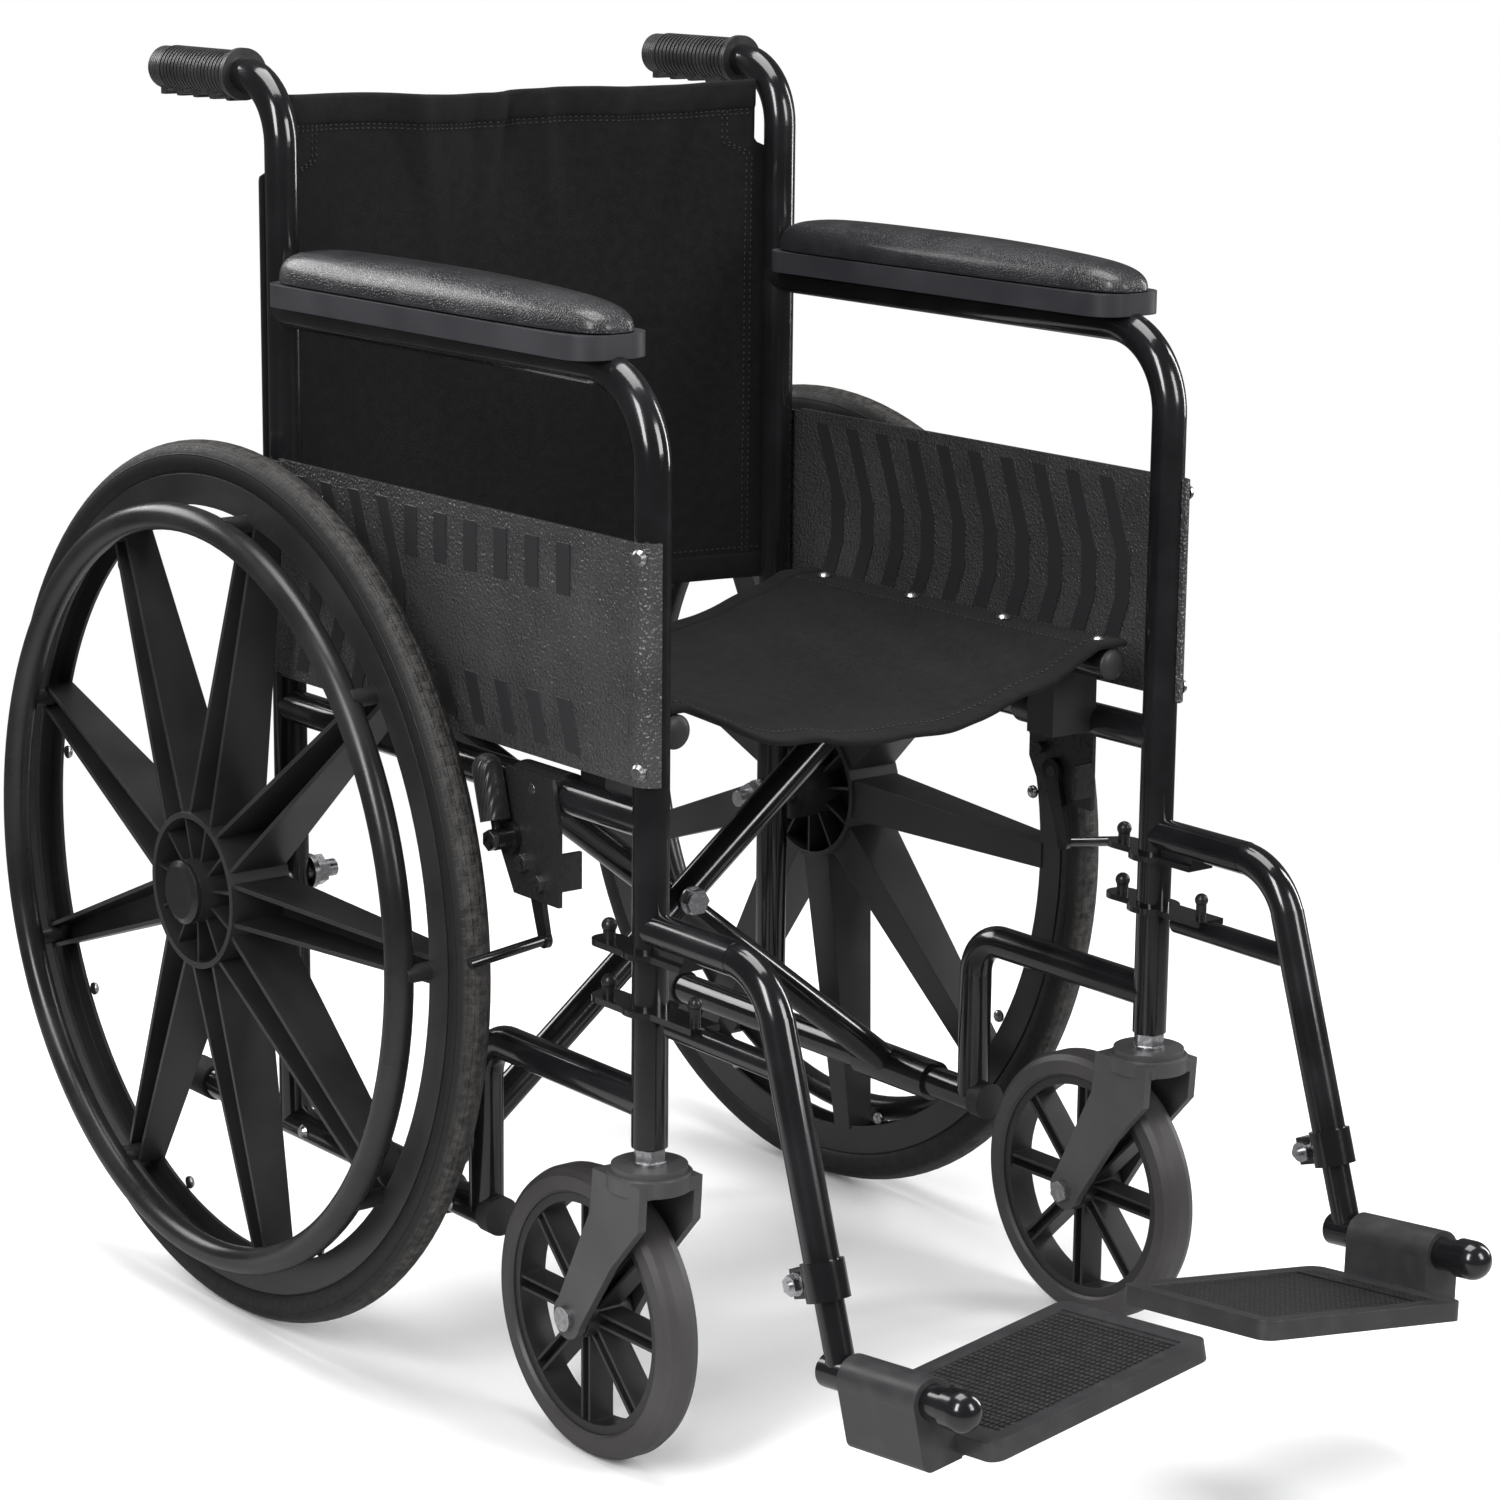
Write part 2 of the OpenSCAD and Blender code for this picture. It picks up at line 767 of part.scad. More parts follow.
module brake_lever() {
    lever_frame()
        difference() {
            union() {
                across(2 + gap, 0, 0, 4, 11);
                across(2 + gap, 0, 0, lever_out + 1, 7);
                translate([lever_out, 0, 0]) cylinder(h = 52, r = 3);
            }
            across(-10, 0, 0, 40, 4 + run);
        }
}

module brake_grip() {
    lever_frame()
        translate([lever_out, 0, 0])
            difference() {
                union() {
                    translate([0, 0, 12]) cylinder(h = 33, r = 9.6);
                    translate([0, 0, 45]) sphere(9.6);
                }
                cylinder(h = 52, r = 3);
            }
}

module brake_shoe() {
    low_y = -14;
    low_z = -48;
    difference() {
        union() {
            across(brake_x - 6, shoe_y, shoe_z, 4, 9);
            translate([brake_x - 6, shoe_y, shoe_z])
                rotate([90, 0, 90])
                    linear_extrude(4)
                        polygon([[-7, 0], [7, 0], [low_y + 5, low_z], [low_y - 5, low_z]]);
            across(brake_x - 6, shoe_y + low_y, shoe_z + low_z, 4, 5.5);
            rod([brake_x - 4, shoe_y + low_y, shoe_z + low_z],
                [wheel_x + 15, shoe_y + low_y + 4, shoe_z + low_z - 8], 3.5);
        }
        across(brake_x - 20, shoe_y, shoe_z, 30, 4 + run);
    }
}

// ---- folding brace ----

// Brace tube with the seat rail on top and the hinge sleeve on the lower rail at -X
module brace(y, hollow) {
    difference() {
        union() {
            rod([-half, y, lower_height], [seat_x, y, brace_top], cross_r);
            translate([seat_x, y, brace_top]) sphere(cross_r + 0.6);
            rod([seat_x, y, brace_top], [seat_x, y, seat_rail_height], cross_r - 1);
            rod([seat_x, seat_rear, seat_rail_height], [seat_x, seat_front, seat_rail_height],
                seat_rail_r);
            rod([-half, hinge_rear, lower_height], [-half, hinge_front, lower_height], tube_r + 3);
        }
        rod([seat_x, seat_rear + 1, seat_rail_height], [seat_x, seat_front - 1, seat_rail_height],
            seat_rail_r - tube_wall);
        rod([-half, 0, lower_height], [-half, rail_front, lower_height], tube_r + run);
        rod([0, y - 40, pivot_z], [0, y + 40, pivot_z], hollow);
        for (s = screw_ys)
            translate([seat_x, s, seat_rail_height]) cylinder(h = 20, r = 2);
    }
}

module seat_screws(side) {
    for (s = screw_ys)
        translate([side * seat_x, s, seat_over + seat_thick]) {
            translate([0, 0, -8]) cylinder(h = 9, r = 2);
            difference() {
                translate([0, 0, -3.2]) sphere(6.4);
                translate([-10, -10, -20]) cube([20, 20, 20]);
            }
        }
}

module brace_bolt() {
    front = cross_y_b - cross_r - 2;
    rod([0, cross_y_a + cross_r + 12, pivot_z], [0, front - 3, pivot_z], bolt_r);
    rod([0, cross_y_b - cross_r - gap, pivot_z], [0, front, pivot_z], 10);
    translate([0, front, pivot_z]) rotate([90, 0, 0]) cylinder(h = 7, r = 9.5, $fn = 6);
    translate([0, cross_y_a + cross_r + 9, pivot_z])
        rotate([90, 0, 0]) cylinder(h = 8, r = 9.5, $fn = 6);
}

// ---- slings ----

module sling(wide, sag, thick) {
    radius = (wide * wide + sag * sag) / (2 * sag);
    intersection() {
        translate([0, radius - sag])
            difference() {
                circle(radius + thick / 2, $fn = 256);
                circle(radius - thick / 2, $fn = 256);
            }
        translate([-wide, -sag - thick]) square([2 * wide, sag + 2 * thick]);
    }
}

module seat_sling() {
    reach = seat_x - 12;
    difference() {
        translate([0, seat_rear - 2, seat_over + seat_thick / 2])
            rotate([90, 0, 0])
                linear_extrude(seat_rear - seat_front - 2) {
                    sling(reach, seat_sag, seat_thick);
                    for (s = [-1, 1])
                        translate([s * (reach + 11), 0]) square([26, seat_thick], center = true);
                }
        for (x = [-1, 1], s = screw_ys)
            translate([x * seat_x, s, seat_over - 2]) cylinder(h = 10, r = 2.2);
    }
}

module back_sling() {
    reach = half - 4;
    difference() {
        translate([0, back_y + back_thick / 2, back_foot])
            linear_extrude(back_top - back_foot) {
                mirror([0, 1]) sling(reach, back_sag, back_thick);
                for (s = [-1, 1])
                    translate([s * (reach + 6), 0]) square([14, back_thick], center = true);
            }
        for (s = [-1, 1])
            translate([s * (half - tube_r + 19.5) - 20, 0, grip_height - grip_bend - 6])
                cube([40, 60, 60]);
    }
}

// ---- named pieces ----

module right_cane() color(powder) at_side(-1) cane();
module left_cane() color(powder) at_side(1) cane();
module right_arm_tube() color(powder) at_side(-1) arm_tube();
module left_arm_tube() color(powder) at_side(1) arm_tube();
module right_rails() color(powder) at_side(-1) rails();
module left_rails() color(powder) at_side(1) rails();
module right_grip() color(rubber) at_side(-1) grip();
module left_grip() color(rubber) at_side(1) grip();
module right_arm_base() color(plastic) at_side(-1) arm_base();
module left_arm_base() color(plastic) at_side(1) arm_base();
module right_arm_pad() color(vinyl) at_side(-1) arm_pad();
module left_arm_pad() color(vinyl) at_side(1) arm_pad();
module right_side_panel() color(plastic) at_side(-1) side_panel();
module left_side_panel() color(plastic) at_side(1) side_panel();
module right_seat_saddles() color(plastic) at_side(-1) seat_saddles();
module left_seat_saddles() color(plastic) at_side(1) seat_saddles();
module right_axle() color(zinc) at_side(-1) axle();
module left_axle() color(zinc) at_side(1) axle();
module right_rail_caps() color(rubber) at_side(-1) rail_caps();
module left_rail_caps() color(rubber) at_side(1) rail_caps();
module right_frame_screws() color(zinc) at_side(-1) frame_screws();
module left_frame_screws() color(zinc) at_side(1) frame_screws();
module right_brake_bracket() color(powder) at_side(-1) brake_bracket();
module left_brake_bracket() color(powder) at_side(1) brake_bracket();
module right_wheel() color(plastic) at_side(-1) wheel();
module left_wheel() color(plastic) at_side(1) wheel();
module right_tyre() color(rubber) at_side(-1) tyre();
module left_tyre() color(rubber) at_side(1) tyre();
module right_handrim() color(plastic) at_side(-1) handrim();
module left_handrim() color(plastic) at_side(1) handrim();
module right_hub_cap() color(plastic) at_side(-1) hub_cap();
module left_hub_cap() color(plastic) at_side(1) hub_cap();
module right_caster_fork() color(plastic) at_side(-1) caster_fork();
module left_caster_fork() color(plastic) at_side(1) caster_fork();
module right_caster_bolts() color(zinc) at_side(-1) caster_bolts();
module left_caster_bolts() color(zinc) at_side(1) caster_bolts();
module right_caster_wheel() color(plastic) at_side(-1) caster_wheel();
module left_caster_wheel() color(plastic) at_side(1) caster_wheel();
module right_caster_tyre() color(rubber) at_side(-1) caster_tyre();
module left_caster_tyre() color(rubber) at_side(1) caster_tyre();
module right_hanger() color(powder) at_side(-1) hanger();
module left_hanger() color(powder) at_side(1) hanger();
module right_hanger_fittings() color(zinc) at_side(-1) hanger_fittings();
module left_hanger_fittings() color(zinc) at_side(1) hanger_fittings();
module right_footrest_tube() color(powder) at_side(-1) footrest_tube();
module left_footrest_tube() color(powder) at_side(1) footrest_tube();
module right_footplate() color(plastic) at_side(-1) footplate();
module left_footplate() color(plastic) at_side(1) footplate();
module right_brake_lever() color(powder) at_side(-1) brake_lever();
module left_brake_lever() color(powder) at_side(1) brake_lever();
module right_brake_grip() color(rubber) at_side(-1) brake_grip();
module left_brake_grip() color(rubber) at_side(1) brake_grip();
module right_brake_shoe() color(powder) at_side(-1) brake_shoe();
module left_brake_shoe() color(powder) at_side(1) brake_shoe();
module rising_left_brace() color(powder) at_middle() brace(cross_y_b, bolt_r);
module rising_right_brace() color(powder) at_side(-1) brace(cross_y_a, bolt_r + run);
module brace_fasteners() color(zinc) at_middle() {
    brace_bolt();
    seat_screws(1);
}
module right_seat_screws() color(zinc) at_middle() seat_screws(-1);
module seat_upholstery() color(cloth) at_middle() seat_sling();
module back_upholstery() color(cloth) at_middle() back_sling();

right_cane();
left_cane();
right_arm_tube();
left_arm_tube();
right_rails();
left_rails();
right_grip();
left_grip();
right_arm_base();
left_arm_base();
right_arm_pad();
left_arm_pad();
right_side_panel();
left_side_panel();
right_seat_saddles();
left_seat_saddles();
right_axle();
left_axle();
right_rail_caps();
left_rail_caps();
right_frame_screws();
left_frame_screws();
right_brake_bracket();
left_brake_bracket();
right_wheel();
left_wheel();
right_tyre();
left_tyre();
right_handrim();
left_handrim();
right_hub_cap();
left_hub_cap();
right_caster_fork();
left_caster_fork();
right_caster_bolts();
left_caster_bolts();
right_caster_wheel();
left_caster_wheel();
right_caster_tyre();
left_caster_tyre();
right_hanger();
left_hanger();
right_hanger_fittings();
left_hanger_fittings();
right_footrest_tube();
left_footrest_tube();
right_footplate();
left_footplate();
right_brake_lever();
left_brake_lever();
right_brake_grip();
left_brake_grip();
right_brake_shoe();
left_brake_shoe();
rising_left_brace();
rising_right_brace();
brace_fasteners();
right_seat_screws();
seat_upholstery();
back_upholstery();
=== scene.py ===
"""Looks of a folding manual wheelchair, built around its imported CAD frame.

Everything is in metres with +Z up, the chair facing -Y and the sitter's left towards +X.
"""

import logging
import math
from dataclasses import dataclass, field
from enum import Enum
from typing import Callable, Iterable, Sequence
import bmesh
import bpy
from mathutils import Matrix, Vector, noise


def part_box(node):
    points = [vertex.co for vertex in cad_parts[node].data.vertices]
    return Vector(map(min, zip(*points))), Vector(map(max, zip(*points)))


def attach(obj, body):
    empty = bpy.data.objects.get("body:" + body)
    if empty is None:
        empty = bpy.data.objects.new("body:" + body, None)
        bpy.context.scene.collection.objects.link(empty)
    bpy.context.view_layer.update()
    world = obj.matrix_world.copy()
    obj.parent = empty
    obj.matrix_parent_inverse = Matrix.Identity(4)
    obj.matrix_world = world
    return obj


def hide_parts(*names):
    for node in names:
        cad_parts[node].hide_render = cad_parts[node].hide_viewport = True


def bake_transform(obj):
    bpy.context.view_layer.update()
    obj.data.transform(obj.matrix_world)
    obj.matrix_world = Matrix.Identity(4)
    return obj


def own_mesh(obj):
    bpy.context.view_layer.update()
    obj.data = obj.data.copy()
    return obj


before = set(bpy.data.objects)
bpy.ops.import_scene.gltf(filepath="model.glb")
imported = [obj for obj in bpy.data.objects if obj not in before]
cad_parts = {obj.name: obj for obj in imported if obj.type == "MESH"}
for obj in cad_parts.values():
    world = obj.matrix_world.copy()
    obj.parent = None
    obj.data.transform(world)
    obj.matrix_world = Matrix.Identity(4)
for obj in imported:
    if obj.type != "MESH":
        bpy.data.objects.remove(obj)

LOG = logging.getLogger("wheelchair")
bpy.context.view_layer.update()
AXLE_Y = sum(corner.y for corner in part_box("right_wheel")) / 2
WHEEL_RADIUS = 0.305
WHEEL_PLANE = 0.259
Socket = bpy.types.NodeSocket
Colour = tuple[float, float, float]


class Side(Enum):
    """The two sides of the chair, with the sign of their X."""

    RIGHT = -1
    LEFT = 1

    @property
    def word(self) -> str:
        """The side's name as the nodes spell it."""
        return self.name.lower()


# ---------------------------------------------------------------- shading helper


class Shade:
    """A material under construction, with short calls for the nodes it needs."""

    def __init__(self, name: str, colour: Colour, roughness: float, **sockets: float) -> None:
        """Starts the material.

        Args:
            name: the material's name.
            colour: base colour.
            roughness: base roughness.
            sockets: further shader sockets, with underscores for spaces.
        """
        self.material = bpy.data.materials.new(name)
        self.material.use_nodes = True
        self.tree = self.material.node_tree
        self.shader = self.tree.nodes["Principled BSDF"]
        self.shader.inputs["Base Color"].default_value = (*colour, 1.0)
        self.shader.inputs["Roughness"].default_value = roughness
        for key, value in sockets.items():
            self.shader.inputs[key.replace("_", " ")].default_value = value
        self.material.diffuse_color = (*colour, 1.0)

    def node(self, kind: str, inputs: dict | None = None, **settings: object) -> bpy.types.Node:
        """Adds a node.

        Args:
            kind: the node type without its ShaderNode prefix.
            inputs: values or sockets for its inputs, by name or number.
            settings: properties of the node.

        Returns:
            The new node.
        """
        made = self.tree.nodes.new("ShaderNode" + kind)
        for key, value in settings.items():
            setattr(made, key, value)
        for key, value in (inputs or {}).items():
            if isinstance(value, bpy.types.NodeSocket):
                self.tree.links.new(value, made.inputs[key])
            else:
                made.inputs[key].default_value = value
        return made

    def place(self, centre: Sequence[float] = (0, 0, 0), turn: Sequence[float] = (0, 0, 0)) -> Socket:
        """Object coordinates about a centre, turned first if asked.

        Args:
            centre: the point that becomes the origin.
            turn: angles in radians of the turn that is undone.

        Returns:
            The coordinates.
        """
        coords = self.node("TexCoord").outputs["Object"]
        inputs = {"Vector": coords, "Location": tuple(centre), "Rotation": tuple(turn)}
        return self.node("Mapping", inputs, vector_type="TEXTURE").outputs[0]

    def uv(self) -> Socket:
        """The piece's own UV map, which is in metres."""
        return self.node("UVMap", uv_map="cloth").outputs[0]

    def split(self, vector: Socket) -> tuple[Socket, Socket, Socket]:
        """The X, Y and Z of a vector."""
        out = self.node("SeparateXYZ", {0: vector}).outputs
        return out[0], out[1], out[2]

    def math(self, operation: str, a: Socket | float, b: Socket | float = 0.0) -> Socket:
        """One step of arithmetic on numbers that vary over the surface."""
        return self.node("Math", {0: a, 1: b}, operation=operation).outputs[0]

    def noise(self, at: Socket, scale: float, detail: float = 3.0) -> Socket:
        """Cloudy noise with features of one over scale metres."""
        return self.node("TexNoise", {"Vector": at, "Scale": scale, "Detail": detail}).outputs[0]

    def cells(self, at: Socket, scale: float, feature: str = "SMOOTH_F1") -> Socket:
        """Distance to the nearest cell centre or cell edge."""
        inputs = {"Vector": at, "Scale": scale}
        return self.node("TexVoronoi", inputs, feature=feature).outputs["Distance"]

    def span(self, value: Socket, low: float, high: float, start: float, end: float) -> Socket:
        """Maps low..high of a value onto start..end, clamped."""
        inputs = {"Value": value, "From Min": low, "From Max": high, "To Min": start, "To Max": end}
        return self.node("MapRange", inputs).outputs[0]

    def blend(self, share: Socket, first: Colour, second: Colour) -> Socket:
        """A colour between two, by a share that varies over the surface."""
        inputs = {0: share, 6: (*first, 1.0), 7: (*second, 1.0)}
        return self.node("Mix", inputs, data_type="RGBA").outputs[2]

    def over(self, share: Socket, below: Socket, top: Colour) -> Socket:
        """One plain colour laid over a varying one, by a share that varies over the surface."""
        inputs = {0: share, 6: below, 7: (*top, 1.0)}
        return self.node("Mix", inputs, data_type="RGBA").outputs[2]

    def wave(self, value: Socket, pitch: float) -> Socket:
        """A sine along a length, one period a pitch."""
        return self.math("SINE", self.math("MULTIPLY", value, 2 * math.pi / pitch))

    def finish(
        self,
        colour: Socket | None = None,
        roughness: Socket | None = None,
        bumps: Iterable[tuple[Socket, float]] = (),
        round_edge: float = 0.0,
        metal: Socket | None = None,
    ) -> bpy.types.Material:
        """Joins what varies to the shader.

        Args:
            colour: base colour.
            roughness: roughness.
            bumps: heights from 0 to 1, each with its depth in metres.
            round_edge: radius that shading rounds sharp edges to.
            metal: how metallic the surface is.

        Returns:
            The finished material.
        """
        links = self.tree.links
        if colour is not None:
            links.new(colour, self.shader.inputs["Base Color"])
        if roughness is not None:
            links.new(roughness, self.shader.inputs["Roughness"])
        if metal is not None:
            links.new(metal, self.shader.inputs["Metallic"])
        normal = None
        if round_edge:
            normal = self.node("Bevel", {"Radius": round_edge}, samples=4).outputs[0]
        for height, depth in bumps:
            inputs = {"Height": height, "Distance": depth, "Strength": 1.0}
            if normal is not None:
                inputs["Normal"] = normal
            normal = self.node("Bump", inputs).outputs[0]
        if normal is not None:
            links.new(normal, self.shader.inputs["Normal"])
        return self.material


# ---------------------------------------------------------------- finishes


@dataclass(frozen=True)
class PowderCoat:
    """Gloss black powder coat on steel tube, with faint orange peel and dust."""

    name: str = "gloss black powder coat"
    colour: Colour = (0.008, 0.008, 0.009)
    peel: float = 420.0

    def material(self) -> bpy.types.Material:
        """Builds the material."""
        shade = Shade(self.name, self.colour, 0.2, Coat_Weight=0.5, Coat_Roughness=0.05)
        at = shade.place()
        dust = shade.noise(at, 24.0, 6.0)
        lighter = tuple(c * 2.2 for c in self.colour)
        colour = shade.blend(shade.span(dust, 0.42, 0.75, 0.0, 0.6), self.colour, lighter)
        rough = shade.span(dust, 0.3, 0.75, 0.13, 0.26)
        return shade.finish(colour, rough, [(shade.noise(at, self.peel, 1.0), 0.00003)])


@dataclass(frozen=True)
class PlatedSteel:
    """Bright zinc plate with fine handling marks."""

    name: str = "bright zinc plate"
    colour: Colour = (0.62, 0.62, 0.64)

    def material(self) -> bpy.types.Material:
        """Builds the material."""
        shade = Shade(self.name, self.colour, 0.28, Metallic=1.0)
        at = shade.place()
        marks = shade.noise(at, 260.0, 8.0)
        colour = shade.blend(shade.span(marks, 0.35, 0.7, 0.0, 1.0), self.colour, (0.4, 0.4, 0.41))
        rough = shade.span(marks, 0.3, 0.7, 0.2, 0.42)
        return shade.finish(colour, rough, [(marks, 0.00004)], 0.0004)


@dataclass(frozen=True)
class PaintAndPlate:
    """Black paint over part of a piece and bright zinc plate over the rest."""

    name: str
    beyond: float = 0.0
    above: float = -1.0
    below: float = 2.0

    def material(self) -> bpy.types.Material:
        """Builds the material. Plate lies beyond a distance from the middle and between two heights."""
        shade = Shade(self.name, (0.02, 0.02, 0.021), 0.3)
        at = shade.place()
        x, _, z = shade.split(at)
        plate = shade.math("GREATER_THAN", shade.math("ABSOLUTE", x), self.beyond)
        plate = shade.math("MULTIPLY", plate, shade.math("GREATER_THAN", z, self.above))
        plate = shade.math("MULTIPLY", plate, shade.math("LESS_THAN", z, self.below))
        marks = shade.noise(at, 260.0, 8.0)
        colour = shade.blend(plate, (0.02, 0.02, 0.021), (0.6, 0.6, 0.62))
        rough = shade.span(marks, 0.3, 0.7, 0.22, 0.4)
        return shade.finish(colour, rough, [(marks, 0.00004)], 0.0004, plate)


@dataclass(frozen=True)
class Moulded:
    """Injection moulded plastic with a spark-eroded grain and paler worn patches."""

    name: str
    colour: Colour
    worn: Colour
    roughness: float = 0.42
    grain: float = 1400.0
    depth: float = 0.00004
    round_edge: float = 0.0008

    def material(self) -> bpy.types.Material:
        """Builds the material."""
        shade = Shade(self.name, self.colour, self.roughness, Specular_IOR_Level=0.5)
        at = shade.place()
        cloud = shade.noise(at, 16.0, 5.0)
        fine = shade.noise(at, self.grain, 2.0)
        colour = shade.blend(shade.span(cloud, 0.35, 0.7, 0.0, 1.0), self.colour, self.worn)
        rough = shade.span(cloud, 0.3, 0.7, self.roughness - 0.06, self.roughness + 0.08)
        return shade.finish(colour, rough, [(fine, self.depth)], self.round_edge)


@dataclass(frozen=True)
class PebbledPanel:
    """Black moulded side panel: pebbled skin, with smooth glossier raised strips; the skin is painted paler
    than the strips, a painted sheen for the pebbles' sparkle.
    """

    name: str = "pebbled black panel"
    skin_low: float = 0.2222
    skin_high: float = 0.22585
    wrap: float = 0.385

    def material(self) -> bpy.types.Material:
        """Builds the material. A strip is what stands beyond the skin's two faces."""
        shade = Shade(self.name, (0.022, 0.022, 0.024), 0.4, Specular_IOR_Level=0.55)
        at = shade.place()
        across, along, _ = shade.split(at)
        out = shade.math("ABSOLUTE", across)
        strip = shade.math(
            "ADD",
            shade.math("GREATER_THAN", out, self.skin_high),
            shade.math("LESS_THAN", out, self.skin_low),
        )
        strip = shade.math("MULTIPLY", strip, shade.math("GREATER_THAN", along, AXLE_Y - self.wrap))
        skin = shade.math("SUBTRACT", 1.0, strip)
        pebble = shade.math("MULTIPLY", shade.cells(at, 520.0), skin)
        swirl = shade.math("MULTIPLY", shade.noise(at, 330.0, 3.0), skin)
        cloud = shade.noise(at, 20.0, 4.0)
        # The skin colours are painted paler than the strips' colour below, though both are one plastic: a
        # painted sheen for the pebbles' sparkle and painted shade on the smooth strips. The cloud between the
        # two skin colours is random tone.
        dark, pale = (0.038, 0.037, 0.039), (0.056, 0.055, 0.057)
        colour = shade.blend(shade.span(cloud, 0.3, 0.7, 0.0, 1.0), dark, pale)
        colour = shade.over(strip, colour, (0.027, 0.027, 0.029))
        rough = shade.span(strip, 0.0, 1.0, 0.3, 0.34)
        return shade.finish(colour, rough, [(pebble, 0.0014), (swirl, 0.0003)], 0.0006)


@dataclass(frozen=True)
class TyreRubber:
    """Solid tyre: fine circular seams on the wall, cross cuts and pale wear on the tread."""

    name: str
    centre: tuple[float, float]
    plane: float
    radius: float
    cuts: int = 300

    def material(self) -> bpy.types.Material:
        """Builds the material about its own axle."""
        shade = Shade(self.name, (0.013, 0.013, 0.013), 0.55, Specular_IOR_Level=0.4)
        at = shade.place((0.0, *self.centre))
        x, y, z = shade.split(at)
        squares = shade.math("ADD", shade.math("MULTIPLY", y, y), shade.math("MULTIPLY", z, z))
        out = shade.math("SQRT", squares)
        turn = shade.math("ARCTAN2", z, y)
        aside = shade.math("ABSOLUTE", shade.math("SUBTRACT", shade.math("ABSOLUTE", x), self.plane))
        tread = shade.span(out, self.radius - 0.006, self.radius - 0.001, 0.0, 1.0)
        off_seam = shade.math("ABSOLUTE", shade.math("SUBTRACT", out, self.radius - 0.009))
        seam = shade.span(off_seam, 0.0, 0.0006, 1.0, 0.0)
        rib = shade.span(shade.wave(aside, 0.0042), -0.2, 0.5, 0.0, 1.0)
        pitch = 2 * math.pi * self.radius / self.cuts
        cuts = shade.wave(shade.math("MULTIPLY", turn, self.radius), pitch)
        cuts = shade.span(cuts, 0.6, 0.95, 1.0, 0.0)
        pattern = shade.math("MULTIPLY", shade.math("MULTIPLY", rib, cuts), tread)
        grit = shade.noise(at, 180.0, 6.0)
        wear = shade.math("MULTIPLY", tread, shade.span(grit, 0.35, 0.65, 0.2, 1.0))
        dark = shade.blend(wear, (0.013, 0.013, 0.013), (0.07, 0.066, 0.063))
        rough = shade.span(grit, 0.3, 0.7, 0.48, 0.66)
        bumps = [(seam, 0.0004), (pattern, 0.0006), (grit, 0.00012)]
        return shade.finish(dark, rough, bumps)


@dataclass(frozen=True)
class GripRubber:
    """Soft black rubber with fine ribs round the handle and a little hand polish."""

    name: str = "ribbed grip rubber"
    pitch: float = 0.0023

    def material(self) -> bpy.types.Material:
        """Builds the material. The ribs are rings about the chair's fore-and-aft direction."""
        shade = Shade(self.name, (0.02, 0.02, 0.021), 0.5, Sheen_Weight=0.08, Sheen_Roughness=0.4)
        at = shade.place()
        _, along, _ = shade.split(at)
        rib = shade.wave(along, self.pitch)
        polish = shade.noise(at, 60.0, 4.0)
        dark, pale = (0.018, 0.0175, 0.018), (0.032, 0.03, 0.031)
        colour = shade.blend(shade.span(polish, 0.35, 0.7, 0.0, 1.0), dark, pale)
        rough = shade.span(polish, 0.3, 0.7, 0.26, 0.42)
        return shade.finish(colour, rough, [(rib, 0.00014), (shade.noise(at, 900.0), 0.00001)])


@dataclass(frozen=True)
class TreadPlate:
    """Footplate plastic: a fine square grid inside a smooth border, paler where shoes rub, with painted shade
    in the grid's grooves.
    """

    name: str
    centre: tuple[float, float, float]
    turn: tuple[float, float, float]
    reach: tuple[float, float]
    pitch: float = 0.0044

    def material(self) -> bpy.types.Material:
        """Builds the material in the plate's own directions."""
        shade = Shade(self.name, (0.03, 0.03, 0.032), 0.44)
        at = shade.place(self.centre, self.turn)
        x, y, z = shade.split(at)
        inside = shade.math(
            "MULTIPLY",
            shade.math("LESS_THAN", shade.math("ABSOLUTE", x), self.reach[0]),
            shade.math("LESS_THAN", shade.math("ABSOLUTE", y), self.reach[1]),
        )
        inside = shade.math("MULTIPLY", inside, shade.math("LESS_THAN", shade.math("ABSOLUTE", z), 0.003))
        line_x = shade.span(shade.math("ABSOLUTE", shade.wave(x, self.pitch * 2)), 0.25, 0.6, 0.0, 1.0)
        line_y = shade.span(shade.math("ABSOLUTE", shade.wave(y, self.pitch * 2)), 0.25, 0.6, 0.0, 1.0)
        studs = shade.math("MULTIPLY", shade.math("MULTIPLY", line_x, line_y), inside)
        scuff = shade.noise(at, 70.0, 6.0)
        low, high = (0.034, 0.033, 0.035), (0.046, 0.044, 0.046)
        colour = shade.blend(shade.span(scuff, 0.45, 0.75, 0.0, 1.0), low, high)
        # The grooves between the studs are painted near black: painted shade in the recesses.
        painted_groove_shade = shade.math("SUBTRACT", inside, studs)
        colour = shade.over(painted_groove_shade, colour, (0.008, 0.008, 0.008))
        rough = shade.span(scuff, 0.3, 0.7, 0.34, 0.46)
        return shade.finish(colour, rough, [(studs, 0.0012), (shade.noise(at, 1500.0), 0.00003)], 0.001)


